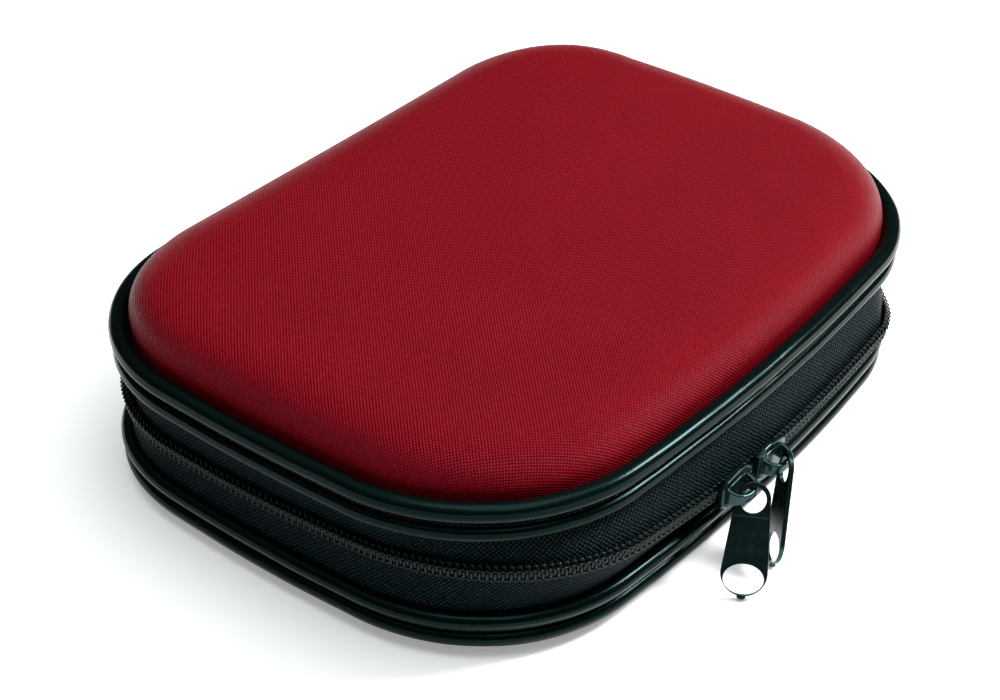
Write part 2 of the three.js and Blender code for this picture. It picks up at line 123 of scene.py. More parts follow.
def dense_outline():
    """Arc length, point and normal angle along the right half, then mirrored to the left."""
    front = np.array([0, FRONT_ARC_R - HALF_WIDTH])
    side = np.array([HALF_LENGTH - SIDE_ARC_R, 0])
    fc, bc = corner_centres()
    a1 = math.atan2(*(fc - front)[::-1])
    a2 = math.atan2(*(fc - side)[::-1])
    a3 = math.atan2(*(bc - side)[::-1])
    arcs = [(front, FRONT_ARC_R, -math.pi / 2, a1), (fc, FRONT_CORNER_R, a1, a2),
            (side, SIDE_ARC_R, a2, a3), (bc, BACK_CORNER_R, a3, math.pi / 2)]
    angle, points = [], []
    for centre, r, t0, t1 in arcs:
        t = np.linspace(t0, t1, 400, endpoint=False)
        angle.append(t)
        points.append(centre + r * np.c_[np.cos(t), np.sin(t)])
    x = np.linspace(bc[0], 0, 60)
    angle.append(np.full(60, math.pi / 2))
    points.append(np.c_[x, np.full(60, HALF_WIDTH)])
    angle, points = np.concatenate(angle), np.vstack(points)
    angle = np.concatenate([angle, math.pi - angle[-2::-1]])
    points = np.vstack([points, points[-2::-1] * [-1, 1]])
    s = np.concatenate([[0], np.cumsum(np.hypot(*np.diff(points, axis=0).T))])
    return s, points, angle


OUT_S, OUT_P, OUT_A = dense_outline()
PERIMETER = OUT_S[-1]
BACK_S = PERIMETER / 2
HINGE_HALF = corner_centres()[1][0]


def outline(s):
    """Points and outward normals at arc lengths s, from the middle of the front towards +X."""
    s = np.mod(s, PERIMETER)
    p = np.c_[np.interp(s, OUT_S, OUT_P[:, 0]), np.interp(s, OUT_S, OUT_P[:, 1])]
    a = np.interp(s, OUT_S, OUT_A)
    return p, np.c_[np.cos(a), np.sin(a)]


def base_tuck(n):
    """How far the base's wall is set in under the lid round its two ends, at normals n."""
    end = np.abs(n[:, 0])
    return np.where(n[:, 0] < 0, BASE_TUCK[0] * end ** 6, BASE_TUCK[1] * end ** 3)


def gusset_bulge(n, z):
    """How far the zip tape stands out of its plane at normals n and heights z."""
    angle = np.degrees(np.arctan2(n[:, 1], np.abs(n[:, 0])))
    left = BULGE_FRONT * np.maximum(0, -n[:, 1]) ** 2 + BULGE_LEFT * n[:, 0] ** 2
    peak = np.where(n[:, 0] < 0, left, np.interp(angle, *zip(*BULGE_RIGHT)))
    span = np.where(z > PIVOT_Z, LID_TAPE_TOP - PIVOT_Z, PIVOT_Z - BASE_TAPE_BOTTOM)
    t = np.minimum(1, np.abs(z - PIVOT_Z) / span)
    set_in = base_tuck(n)[:, None] * (t * (z < PIVOT_Z))[None, :]
    return peak[:, None] * (1 - t * t)[None, :] - set_in


# ---- mesh helpers ---------------------------------------------------------------
def new_object(name, verts_mm, faces, smooth=True):
    mesh = bpy.data.meshes.new(name)
    mesh.from_pydata((np.asarray(verts_mm, float) * MM).tolist(), [], faces)
    mesh.polygons.foreach_set("use_smooth", [smooth] * len(mesh.polygons))
    mesh.update()
    obj = bpy.data.objects.new(name, mesh)
    bpy.context.scene.collection.objects.link(obj)
    return obj


def grid_faces(n, m, wrap_n, wrap_m):
    """Quads of an n by m grid of points, with each corner's unwrapped grid place."""
    rows, columns = np.arange(n if wrap_n else n - 1), np.arange(m if wrap_m else m - 1)
    i, j = np.meshgrid(rows, columns, indexing="ij")
    i, j = i.ravel(), j.ravel()
    ci = np.stack([i, i + 1, i + 1, i], 1)
    cj = np.stack([j, j, j + 1, j + 1], 1)
    return (ci % n) * m + cj % m, ci, cj


def grid_object(name, points, wrap_n=False, wrap_m=False, uv=None, caps=False, flat_uv=False):
    """A surface from an (n, m, 3) array of points. uv is a pair of (n, m) arrays in metres."""
    n, m = points.shape[:2]
    faces, ci, cj = grid_faces(n, m, wrap_n, wrap_m)
    faces = faces.tolist()
    if caps:
        faces.append(list(range(m))[::-1])
        faces.append([(n - 1) * m + k for k in range(m)])
    obj = new_object(name, points.reshape(-1, 3), faces)
    if uv is not None:
        layer = obj.data.uv_layers.new(name="cloth")
        mode = "wrap" if flat_uv else "edge"
        u, v = (np.pad(a, ((0, int(wrap_n)), (0, int(wrap_m))), mode=mode) for a in uv)
        if wrap_n and not flat_uv:
            u[-1] = uv[0][0, 0] + PERIMETER * MM
        flat = np.zeros((sum(len(f) for f in faces), 2), np.float32)
        quads = ci.size
        flat[:quads, 0] = u[ci, cj].ravel()
        flat[:quads, 1] = v[ci, cj].ravel()
        layer.data.foreach_set("uv", flat.ravel())
    return face_out(obj)


def face_out(obj):
    """Turns the faces over if the closed mesh is inside out."""
    mesh = obj.data
    mesh.calc_loop_triangles()
    co = np.zeros(len(mesh.vertices) * 3)
    mesh.vertices.foreach_get("co", co)
    tri = np.zeros(len(mesh.loop_triangles) * 3, int)
    mesh.loop_triangles.foreach_get("vertices", tri)
    a, b, c = (co.reshape(-1, 3)[tri.reshape(-1, 3)[:, k]] for k in range(3))
    if np.einsum("ij,ij->i", a, np.cross(b, c)).sum() < 0:
        mesh.flip_normals()
    return obj


def ring_points(s, inset, z):
    """Points at stations s for (n, m) arrays of inset and height."""
    p, n = outline(s)
    xy = p[:, None, :] - n[:, None, :] * inset[:, :, None]
    return np.dstack([xy, z])


def sweep(name, s, inset, z, closed=True):
    """Sweeps a closed profile of (n, m) insets and heights along the outline."""
    pts = ring_points(s, inset, z)
    step = np.hypot(np.diff(inset, axis=1), np.diff(z, axis=1))
    v = np.hstack([np.zeros((len(s), 1)), np.cumsum(step, 1)]) * MM
    u = np.repeat(s[:, None], inset.shape[1], 1) * MM
    return grid_object(name, pts, closed, True, (u, v), caps=not closed)


def tube(name, path, radius, sides=8, closed=False, squash=1.0):
    """A tube of round or oval section along a path of points in millimetres."""
    path = np.asarray(path, float)
    step = np.roll(path, -1, 0) - np.roll(path, 1, 0)
    if not closed:
        step[0], step[-1] = path[1] - path[0], path[-1] - path[-2]
    t = step / np.linalg.norm(step, axis=1)[:, None]
    ref = np.where(np.abs(t[:, 2:3]) > 0.9, [[1.0, 0, 0]], [[0, 0, 1.0]])
    side = np.cross(t, ref)
    side /= np.linalg.norm(side, axis=1)[:, None]
    up = np.cross(side, t)
    a = np.linspace(0, 2 * math.pi, sides, endpoint=False)
    r = np.broadcast_to(np.asarray(radius, float).reshape(-1, 1), (len(path), sides))
    pts = (path[:, None, :] + side[:, None, :] * (r * np.cos(a))[:, :, None]
           + up[:, None, :] * (r * squash * np.sin(a))[:, :, None])
    return grid_object(name, pts, closed, True, None, caps=not closed)


def joined(name, parts):
    """Joins several mesh objects into one."""
    bpy.ops.object.select_all(action="DESELECT")
    for part in parts:
        part.select_set(True)
    bpy.context.view_layer.objects.active = parts[0]
    bpy.ops.object.join()
    parts[0].name = name
    return parts[0]


def plate(name, outlines, thickness, bevel):
    """A flat plate with rounded edges in the XY plane: the first outline less the others."""
    curve = bpy.data.curves.new(name, "CURVE")
    curve.dimensions = "2D"
    curve.fill_mode = "BOTH"
    curve.extrude = (thickness / 2 - bevel) * MM
    curve.bevel_depth = bevel * MM
    curve.bevel_resolution = 3
    curve.offset = -bevel * MM
    for line in outlines:
        spline = curve.splines.new("POLY")
        spline.points.add(len(line) - 1)
        for point, (x, y) in zip(spline.points, line):
            point.co = (x * MM, y * MM, 0, 1)
        spline.use_cyclic_u = True
    temp = bpy.data.objects.new(name + "_curve", curve)
    bpy.context.scene.collection.objects.link(temp)
    depsgraph = bpy.context.evaluated_depsgraph_get()
    mesh = bpy.data.meshes.new_from_object(temp.evaluated_get(depsgraph))
    bpy.data.objects.remove(temp)
    mesh.name = name
    mesh.polygons.foreach_set("use_smooth", [False] * len(mesh.polygons))
    obj = bpy.data.objects.new(name, mesh)
    bpy.context.scene.collection.objects.link(obj)
    return obj


def ellipse(cx, cy, rx, ry, count=40, start=0.0, end=2 * math.pi):
    closed = abs(end - start - 2 * math.pi) < 1e-6
    t = np.linspace(start, end, count, endpoint=not closed)
    return [(cx + rx * math.cos(a), cy + ry * math.sin(a)) for a in t]


def finish_piece(obj, material, body, *nodes):
    """Gives a piece its material and body, and hides the CAD nodes it stands for."""
    obj.data.materials.clear()
    obj.data.materials.append(material)
    if body:
        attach(obj, body)
    if nodes:
        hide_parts(*nodes)
    return obj


# ---- materials -------------------------------------------------------------------
class Nodes:
    """A node tree built from short calls."""

    def __init__(self, tree):
        self.tree = tree

    def node(self, kind, inputs=None, **attributes):
        made = self.tree.nodes.new(kind)
        for key, value in attributes.items():
            setattr(made, key, value)
        for key, value in (inputs or {}).items():
            self.feed(made.inputs[key], value)
        return made

    def feed(self, socket, value):
        if isinstance(value, bpy.types.NodeSocket):
            self.tree.links.new(value, socket)
        else:
            socket.default_value = value

    def math(self, operation, a, b=0.0, c=0.0):
        return self.node("ShaderNodeMath", {0: a, 1: b, 2: c}, operation=operation).outputs[0]


class Shader(Nodes):
    """A material: settings are the values of its shader's own sockets."""

    def __init__(self, name, **settings):
        self.material = bpy.data.materials.new(name + "_look")
        self.material["slot"] = name
        self.material.use_nodes = True
        super().__init__(self.material.node_tree)
        self.output(**settings)

    def coordinates(self, kind="Object", stretch=(1, 1, 1)):
        source = self.node("ShaderNodeTexCoord").outputs[kind]
        return self.node("ShaderNodeMapping", {"Vector": source, "Scale": stretch}).outputs[0]

    def noise(self, vector, scale, detail=3.0, roughness=0.5):
        inputs = {"Vector": vector, "Scale": scale, "Detail": detail, "Roughness": roughness}
        return self.node("ShaderNodeTexNoise", inputs).outputs["Fac"]

    def ramp(self, value, stops):
        made = self.node("ShaderNodeValToRGB", {"Fac": value})
        elements = made.color_ramp.elements
        while len(elements) < len(stops):
            elements.new(0.5)
        for element, (place, colour) in zip(elements, stops):
            element.position = place
            element.color = (*colour, 1)
        return made.outputs[0]

    def bump(self, height, distance, strength=1.0):
        inputs = {"Height": height, "Distance": distance, "Strength": strength}
        return self.node("ShaderNodeBump", inputs).outputs[0]

    def weighted(self, *pairs):
        """The sum of each value times its weight."""
        total = 0.0
        for value, weight in pairs:
            total = self.math("MULTIPLY_ADD", value, weight, total)
        return total

    def wandering(self, vector, scale, amount):
        """Coordinates pushed about by noise, so that the rows of a weave aren't ruled straight."""
        drift = self.node("ShaderNodeTexNoise", {"Vector": vector, "Scale": scale}).outputs[1]
        drift = self.node("ShaderNodeVectorMath", {0: drift, 3: amount}, operation="SCALE").outputs[0]
        return self.node("ShaderNodeVectorMath", {0: vector, 1: drift}, operation="ADD").outputs[0]

    def quincunx(self, vector, pitch_u, pitch_v):
        """Offset rows of raised dots: +1 on a dot, -1 between dots. Pitches are in metres."""
        parts = self.node("ShaderNodeSeparateXYZ", {0: vector})
        cu = self.math("COSINE", self.math("MULTIPLY", parts.outputs[0], math.pi / pitch_u))
        cv = self.math("COSINE", self.math("MULTIPLY", parts.outputs[1], math.pi / pitch_v))
        return self.math("MULTIPLY", cu, cv)

    def output(self, **sockets):
        shader = self.tree.nodes["Principled BSDF"]
        for key, value in sockets.items():
            self.feed(shader.inputs[key.replace("_", " ")], value)
        return self.material


def red_cloth():
    """Closely woven polyester: offset dots of thread over a darker ground."""
    sh = Shader("red_cloth", Roughness=0.38, Specular_IOR_Level=0.085, Specular_Tint=(1.0, 0.4, 0.75, 1))
    cloth = sh.coordinates("UV")
    dots = sh.quincunx(sh.wandering(cloth, 420.0, 0.00018), 0.00042, 0.00040)
    fibre = sh.noise(sh.coordinates("UV", (1, 3.0, 1)), 5200.0, 2.0)
    wobble = sh.noise(cloth, 900.0, 2.0)
    patch = sh.noise(sh.coordinates("Object"), 55.0, 3.0)
    tone = sh.weighted((dots, 0.42), (fibre, 0.5), (wobble, 0.35), (patch, 0.15))
    colour = sh.ramp(tone, [(0.10, (0.062, 0.0001, 0.0008)), (0.5, (0.134, 0.0006, 0.0028)),
                            (0.88, (0.225, 0.0030, 0.010))])
    height = sh.weighted((dots, 1.0), (fibre, 0.8))
    return sh.output(Base_Color=colour, Normal=sh.bump(height, 0.00011, 0.9))


def black_pvc():
    """Glossy extruded trim with faint lines along it and a little dust."""
    sh = Shader("pvc", Roughness=0.3, Specular_IOR_Level=0.085, Specular_Tint=(0.5, 1.0, 0.98, 1))
    lines = sh.noise(sh.coordinates("UV", (0.02, 1.0, 1.0)), 2600.0, 2.0)
    grain = sh.noise(sh.coordinates("Object"), 900.0, 3.0)
    dust = sh.noise(sh.coordinates("Object"), 260.0, 4.0, 0.7)
    colour = sh.ramp(sh.weighted((dust, 0.6), (lines, 0.4)),
                     [(0.3, (0.0003, 0.0020, 0.0018)), (0.75, (0.0010, 0.0040, 0.0038))])
    rough = sh.math("MULTIPLY_ADD", grain, 0.16, 0.10)
    height = sh.weighted((lines, 1.0), (grain, 0.25))
    return sh.output(Base_Color=colour, Roughness=rough, Normal=sh.bump(height, 0.00008, 0.5))


def zip_tape_cloth():
    """Matt woven tape, nearly black, with small uneven specks where its threads catch the light."""
    sh = Shader("tape", Roughness=0.5, Specular_IOR_Level=0.04)
    specks = sh.quincunx(sh.wandering(sh.coordinates("UV"), 520.0, 0.0006), 0.00056, 0.00050)
    fibre = sh.noise(sh.coordinates("UV", (1.0, 2.2, 1.0)), 3300.0, 2.0)
    tone = sh.math("ADD", sh.weighted((specks, 0.26), (fibre, 1.6)), -0.34)
    # the bright end of this ramp is painted highlight on the thread dots; the dots also raise the real
    # bump below
    colour = sh.ramp(tone, [(0.46, (0.0001, 0.0006, 0.0007)), (0.62, (0.0013, 0.0062, 0.0074)),
                            (0.84, (0.034, 0.085, 0.100))])
    height = sh.weighted((specks, 1.0), (fibre, 1.0))
    return sh.output(Base_Color=colour, Normal=sh.bump(height, 0.00024))


def coil_nylon():
    """Smooth black nylon wire."""
    sh = Shader("coil", Roughness=0.3, Specular_IOR_Level=0.16, Specular_Tint=(0.75, 1.0, 1.0, 1))
    grain = sh.noise(sh.coordinates("Object"), 1500.0, 2.0)
    colour = sh.ramp(grain, [(0.3, (0.0002, 0.0010, 0.0011)), (0.8, (0.0010, 0.0032, 0.0036))])
    return sh.output(Base_Color=colour, Roughness=sh.math("MULTIPLY_ADD", grain, 0.20, 0.14))


def gunmetal():
    """Dark plated metal with light wear."""
    sh = Shader("gunmetal", Metallic=0.9, Roughness=0.25)
    where = sh.coordinates("Object")
    wear = sh.noise(where, 700.0, 4.0, 0.65)
    broad = sh.noise(where, 160.0, 2.0)
    colour = sh.ramp(wear, [(0.25, (0.013, 0.030, 0.031)), (0.6, (0.021, 0.045, 0.047)),
                            (0.95, (0.05, 0.09, 0.095))])
    rough = sh.math("ADD", sh.weighted((wear, 0.16), (broad, 0.16)), 0.08)
    return sh.output(Base_Color=colour, Roughness=rough, Normal=sh.bump(wear, 0.00003, 0.4))


def grained(name, dark, light, scale, depth, stretch=(1, 1, 1), **settings):
    """A plain material with fine grain in its colour and surface."""
    sh = Shader(name, **settings)
    grain = sh.noise(sh.coordinates("Object", stretch), scale, 4.0, 0.6)
    patch = sh.noise(sh.coordinates("Object"), 90.0, 2.0)
    colour = sh.ramp(sh.weighted((grain, 0.75), (patch, 0.25)), [(0.3, dark), (0.7, light)])
    return sh.output(Base_Color=colour, Normal=sh.bump(grain, depth, 0.6))


def woven(name, dark, light, pitch, depth, rough, level):
    """A plain weave with offset raised threads."""
    sh = Shader(name, Roughness=rough, Specular_IOR_Level=level)
    cloth = sh.coordinates("UV")
    weave = sh.quincunx(cloth, pitch, pitch)
    fibre = sh.noise(cloth, 2600.0, 3.0, 0.6)
    tone = sh.math("ADD", sh.weighted((weave, 0.2), (fibre, 0.8)), 0.1)
    colour = sh.ramp(tone, [(0.25, dark), (0.75, light)])
    height = sh.weighted((weave, 1.0), (fibre, 0.6))
    return sh.output(Base_Color=colour, Normal=sh.bump(height, depth, 0.8))


RED = red_cloth()
PVC = black_pvc()
TAPE = zip_tape_cloth()
COIL = coil_nylon()
METAL = gunmetal()
LINING = woven("lining", (0.006, 0.0065, 0.008), (0.018, 0.019, 0.023), 0.0005, 0.00008, 0.8, 0.15)
NET = woven("net", (0.004, 0.0045, 0.005), (0.014, 0.015, 0.017), 0.0003, 0.00005, 0.6, 0.2)
ELASTIC = woven("elastic", (0.006, 0.007, 0.009), (0.022, 0.024, 0.028), 0.00045, 0.00007, 0.7, 0.2)
GAUZE = woven("gauze", (0.24, 0.22, 0.185), (0.50, 0.48, 0.43), 0.00045, 0.00016, 0.9, 0.1)
PLASTER = woven("plaster", (0.26, 0.15, 0.085), (0.38, 0.23, 0.13), 0.0006, 0.00006, 0.75, 0.2)
PAPER = grained("paper", (0.34, 0.355, 0.35), (0.48, 0.495, 0.49), 700.0, 0.00005,
                Roughness=0.75, Specular_IOR_Level=0.25)
FILM = grained("film_blue", (0.13, 0.24, 0.34), (0.21, 0.34, 0.45), 200.0, 0.00012,
               Roughness=0.22, Specular_IOR_Level=0.6)
FOIL = grained("foil", (0.34, 0.36, 0.38), (0.50, 0.52, 0.54), 420.0, 0.00008,
               Roughness=0.32, Metallic=0.85)
SPOOL = grained("spool", (0.36, 0.36, 0.35), (0.46, 0.46, 0.45), 500.0, 0.00003,
                Roughness=0.4, Specular_IOR_Level=0.4)
STEEL = grained("steel", (0.34, 0.35, 0.37), (0.52, 0.54, 0.56), 900.0, 0.00002, (0.08, 1, 1),
                Roughness=0.26, Metallic=1.0)

STATIONS = 480
ALL_ROUND = np.linspace(0, PERIMETER, STATIONS, endpoint=False)
ZIP_FROM = BACK_S + HINGE_HALF
ZIP_TO = PERIMETER + BACK_S - HINGE_HALF
ZIP_S = np.linspace(ZIP_FROM, ZIP_TO, 430)


# ---- padded panels ------------------------------------------------------------------
def smooth_through(knots, count):
    """A smooth line through 2-D knots, with count points evenly spaced along it."""
    knots = np.array(knots, float)
    t = np.concatenate([[0], np.cumsum(np.hypot(*np.diff(knots, axis=0).T))])
    fine = np.linspace(0, t[-1], 800)
    tangent = np.gradient(knots, t, axis=0)
    k = np.clip(np.searchsorted(t, fine, side="right") - 1, 0, len(t) - 2)
    h = (t[k + 1] - t[k])[:, None]
    w = (fine - t[k])[:, None] / h
    p = ((2 * w ** 3 - 3 * w ** 2 + 1) * knots[k] + (w ** 3 - 2 * w ** 2 + w) * h * tangent[k]
         + (3 * w ** 2 - 2 * w ** 3) * knots[k + 1] + (w ** 3 - w ** 2) * h * tangent[k + 1])
    u = np.linspace(0, t[-1], count)
    return np.c_[np.interp(u, fine, p[:, 0]), np.interp(u, fine, p[:, 1])]


def weld(obj):
    """Merges points that lie together, so that a shrunken ring becomes one point."""
    work = bmesh.new()
    work.from_mesh(obj.data)
    bmesh.ops.remove_doubles(work, verts=work.verts, dist=1e-7)
    bmesh.ops.dissolve_degenerate(work, edges=work.edges, dist=1e-8)
    work.to_mesh(obj.data)
    work.free()
    return obj


def dome(name, outer, skin, wall_end, crown_z, sign, wave, square=None, lip=0.0):
    """A closed moulded panel over the whole outline.

    outer lists (inset, drop) from the crown's rim to the wall; skin is the panel's thickness.
    sign is +1 for the lid and -1 for the base. square is a fuller shoulder for the two back corners.
    lip turns the panel's edge outwards by that much."""
    face = smooth_through(outer, 44)
    fuller = smooth_through(square or outer, 44) - face
    rim_inset, rim_drop = face[0]
    edge_inset = face[-1][0]
    shrinks = np.linspace(1, 0, 22)[:-1]
    p, n = outline(ALL_ROUND)
    along = np.concatenate([[0], np.cumsum(np.hypot(*np.diff(face, axis=0).T))])
    rim = p - n * rim_inset
    angle = np.degrees(np.arctan2(n[:, 1], n[:, 0]))
    blend = sum(full * np.exp(-((angle - at) / spread) ** 2) for at, spread, full in SHOULDERS)
    tuck = base_tuck(n) * (sign < 0)

    def lift(xy):
        """Slight unevenness of the cloth."""
        x, y = xy.T
        return wave * (np.sin(x / 9.1 + 0.7) * np.sin(y / 7.7) + 0.6 * np.sin(x / 5.3 - y / 6.1))

    def corner(xy):
        """The lid's raised corner."""
        away = ((xy - CORNER_AT) ** 2).sum(axis=1)
        return CORNER_LIFT * np.exp(-away / CORNER_SPREAD ** 2) if square else 0

    rows = []
    for offset in (0.0, skin):
        ring = []
        for shrink in shrinks:
            xy = rim * (1 - shrink)
            z = crown_z - sign * (rim_drop + offset) + sign * (lift(xy) + corner(xy))
            ring.append((np.c_[xy, z], xy))
        for (inset, drop), (more_inset, more_drop), a in zip(face, fuller, along):
            k = min(1.0, max(0.0, (inset - edge_inset) / (rim_inset - edge_inset)))
            insets, drops = inset + blend * more_inset, drop + blend * more_drop
            xy = p - n * (insets + tuck * (1 - k) + offset * (1 - k) ** 0.6)[:, None]
            raised = lift(xy) * k + corner(xy) * np.clip(1 - drops / 8, 0, 1)
            height = crown_z - sign * (drops + offset * k ** 0.6) + sign * raised
            ring.append((np.c_[xy, height], rim + n * a))
        end_z = np.full(len(p), wall_end - sign * offset * (lip > 0))
        for k, inset in enumerate([edge_inset + offset, edge_inset - lip][:1 + (lip > 0)]):
            cloth = rim + n * (along[-1] + 8 + 2 * k)
            ring.append((np.c_[p - n * (inset + tuck)[:, None], end_z], cloth))
        rows.append(ring)
    rings = rows[0] + rows[1][::-1]
    points = np.stack([r[0] for r in rings], 1)
    cloth = np.stack([r[1] for r in rings], 1) * MM
    obj = grid_object(name, points, True, True, (cloth[:, :, 0], cloth[:, :, 1]), flat_uv=True)
    return weld(obj)


LID_OUTER = [(20, 0), (16.4, 0.1), (13, 0.42), (10, 1.2), (7.6, 2.5), (6.0, 4.2), (5.0, 6.4),
             (4.62, 8.8), (4.6, 10.5)]
LID_SQUARE = [(20, 0), (15.5, 0), (11.5, 0.1), (8.6, 0.45), (6.6, 1.15), (5.2, 2.3), (4.4, 4.0),
              (4.2, 6.8), (4.6, 10.5)]
BASE_OUTER = [(20, 0), (16.4, 0.06), (13, 0.22), (10, 0.65), (7.8, 1.35), (6.3, 2.4), (5.4, 3.8),
              (5.0, 5.6), (5.0, 6.6)]


def make_panels():
    lid = dome("lid_panel", LID_OUTER, SKIN_T, LID_WALL_END, HEIGHT, 1, 0.03, LID_SQUARE)
    finish_piece(lid, RED, "lid", "lid_cover")
    base = dome("base_panel", BASE_OUTER, SKIN_T, BASE_WALL_END, 0.0, -1, 0.0)
    finish_piece(base, RED, "base", "base_cover")


# ---- trim ---------------------------------------------------------------------------
# inset, height and radius of each bead, and the body it is sewn to
BEADS = {
    "lid_piping_upper": (2.15, 34.65, 2.0, "lid"),
    "lid_piping_lower": (2.3, 29.95, 1.7, "lid"),
    "base_piping_upper": (2.3, 8.55, 1.78, "base"),
    "base_piping_lower": (2.6, 4.35, 1.75, "base"),
}


def bead_profile(r, sign, crease):
    """Insets and heights round a bead about its middle, with a pressed crease on the outer face."""
    a = np.linspace(0, 2 * math.pi, 40, endpoint=False)
    outward = np.cos(a)
    rise = np.sin(a) * sign
    notch = np.exp(-((a - crease) / 0.09) ** 2) + np.exp(-((a - crease - 2 * math.pi) / 0.09) ** 2)
    radius = r * (1 - 0.075 * notch)
    return -outward * radius, rise * radius


def make_piping():
    for k, (node, (inset, z, r, body)) in enumerate(BEADS.items()):
        sign = 1 if body == "lid" else -1
        d_inset, d_z = bead_profile(r, sign, 0.25)
        s = ALL_ROUND
        turn = 2 * math.pi * s / PERIMETER
        slack = 0.05 * np.sin(7 * turn + k) + 0.035 * np.sin(17 * turn + 2 * k)
        slack += 0.02 * np.sin(31 * turn)
        seam = 0.12 * np.exp(-((s - BACK_S - 12) / 0.8) ** 2)
        size = 1 - seam / r
        n = outline(s)[1]
        lid_tuck = (0.9 if node == "lid_piping_upper" else 0.2) * np.maximum(0, n[:, 0]) ** 2
        tuck = base_tuck(n) if body == "base" else lid_tuck
        insets = inset + tuck[:, None] + d_inset[None, :] * size[:, None]
        heights = z + d_z[None, :] * size[:, None] + slack[:, None]
        finish_piece(sweep(node + "_trim", s, insets, heights), PVC, body, node)


def make_edge_bands():
    for node, z, body in (("lid_edge_band", 32.03, "lid"), ("base_edge_band", 6.56, "base")):
        inner, outer = 4.2, 1.75
        inset = np.array([outer, 2.4, 3.3, inner, inner, 3.3, 2.4, outer, outer - 0.1])
        height = np.array([0.17, 0.15, 0.15, 0.15, -0.15, -0.15, -0.15, -0.17, 0.0])
        tuck = base_tuck(outline(ALL_ROUND)[1])[:, None] * (body == "base")
        strip = sweep(node + "_binding", ALL_ROUND, tuck + inset, z + 0 * tuck + height)
        finish_piece(strip, TAPE, body, node)


# ---- zip ----------------------------------------------------------------------------
def tape_sweep(name, s, z0, z1):
    """One zip tape from height z0 to z1, bulged with the wall and sagging towards the zip."""
    z = np.linspace(z0, z1, 22)
    _, n = outline(s)
    face = TAPE_INSET - gusset_bulge(n, z)
    inset = np.hstack([face, face[:, ::-1] + TAPE_T])
    far = z1 if z1 > PIVOT_Z + 1 else z0
    near = 1 - np.abs(z - PIVOT_Z) / abs(far - PIVOT_Z)
    level = z[None, :] + sag(s)[:, None] * np.clip(near, 0, 1)[None, :]
    height = np.hstack([level, level[:, ::-1]])
    return sweep(name, s, inset, height, closed=False)


def make_tapes():
    for node, z0, z1, body in (("zip_tape_lid", PIVOT_Z + ZIP_GAP / 2, LID_WALL_END, "lid"),
                               ("zip_tape_base", BASE_WALL_END, PIVOT_Z - ZIP_GAP / 2, "base")):
        tape = tape_sweep(node + "_cloth", ZIP_S, z0, z1)
        finish_piece(tape, TAPE, body, node)


def sag(s):
    """How far the zip hangs below its middle line at arc lengths s, in millimetres."""
    x = np.mod(s + BACK_S, PERIMETER) - BACK_S
    front = np.exp(-((x - 22) / 58) ** 6)
    return -1.3 * front + 2.25 * np.exp(-((x + 82) / 42) ** 2)


def coil_path(side):
    """The centreline of one zip coil: side is +1 above the middle and -1 below."""
    per_loop = 20
    loops = int((ZIP_TO - ZIP_FROM - 2.5) / COIL_PITCH)
    t = np.arange(loops * per_loop) / per_loop
    k, phase = np.floor(t), t % 1
    late = np.clip((phase - 0.84) / 0.16, 0, 1)
    early = np.clip(phase / 0.16, 0, 1)
    step = 0.5 * late ** 1.5 - 0.5 * (1 - early) ** 1.5
    a = 2 * math.pi * phase
    reach = (0.5 - 0.5 * np.cos(a)) ** 0.85
    shift = 0.5 if side > 0 else 0.0
    s = ZIP_FROM + 1.2 + COIL_PITCH * (k + step + shift)
    outer, head = 1.72, -0.66
    z = PIVOT_Z + sag(s) + side * (outer + (head - outer) * reach)
    depth = 0.88 + 0.52 * np.sin(a)
    return s, z, depth, reach


def chain_inset(n):
    """How far in the tapes' meeting edges lie at normals n."""
    return TAPE_INSET - gusset_bulge(n, np.array([PIVOT_Z]))[:, 0]


def make_coils():
    for node, side, body in (("zip_coil_lid", 1, "lid"), ("zip_coil_base", -1, "base")):
        s, z, depth, reach = coil_path(side)
        p, n = outline(s)
        xy = p - n * (chain_inset(n) - depth)[:, None]
        wire = tube(node + "_wire", np.c_[xy, z], 0.31 + 0.06 * reach ** 4, 8)
        u = np.arange(ZIP_FROM + 1.2, ZIP_TO - 1.2, COIL_PITCH / 8)
        pu, nu = outline(u)
        shift = 0.5 if side > 0 else 0.0
        dip = 0.5 - 0.5 * np.cos(2 * math.pi * ((u - ZIP_FROM - 1.2) / COIL_PITCH - shift))
        over = (1.98 if side > 0 else 1.5) - 0.35 * dip
        zt = PIVOT_Z + sag(u) + (1.08 if side > 0 else -1.28)
        sewn = pu - nu * (chain_inset(nu) - over)[:, None]
        thread = tube(node + "_thread", np.c_[sewn, zt], 0.2, 6)
        coil = joined(node + "_loops", [wire, thread])
        finish_piece(coil, COIL, body, node)


def make_hinge():
    """The woven strip behind, swelling a little where the two halves meet."""
    xs = np.linspace(-HINGE_HALF + 0.3, HINGE_HALF - 0.3, 90)
    z = np.concatenate([np.linspace(10.75, 27.7, 34), np.linspace(27.7, 10.75, 34)])
    y = HALF_WIDTH - np.where(np.arange(68) < 34, 2.6, 3.8)
    swell = 0.5 * np.exp(-((z - PIVOT_Z) / 2.2) ** 2)
    pts = np.dstack([np.repeat(xs[:, None], 68, 1), np.repeat((y + swell)[None, :], 90, 0),
                     np.repeat(z[None, :], 90, 0)])
    u, v = pts[:, :, 0] * MM, pts[:, :, 2] * MM
    hinge = grid_object("hinge_cloth", pts, False, True, (u, v), caps=True)
    finish_piece(hinge, TAPE, None, "hinge_tape_lid", "hinge_tape_base")
    return hinge


# ---- sliders ------------------------------------------------------------------------
def front_y(x):
    """Where the curved front lies at x."""
    return FRONT_ARC_R - HALF_WIDTH - math.sqrt(FRONT_ARC_R ** 2 - x * x)


def place(obj, matrix):
    """Moves an object built in millimetre units of its own frame; matrix is in millimetres."""
    m = matrix.copy()
    m.translation = m.translation * MM
    obj.data.transform(m)
    return obj


def unit_tangents(path):
    t = np.gradient(path, axis=0)
    return t / np.linalg.norm(t, axis=1)[:, None]


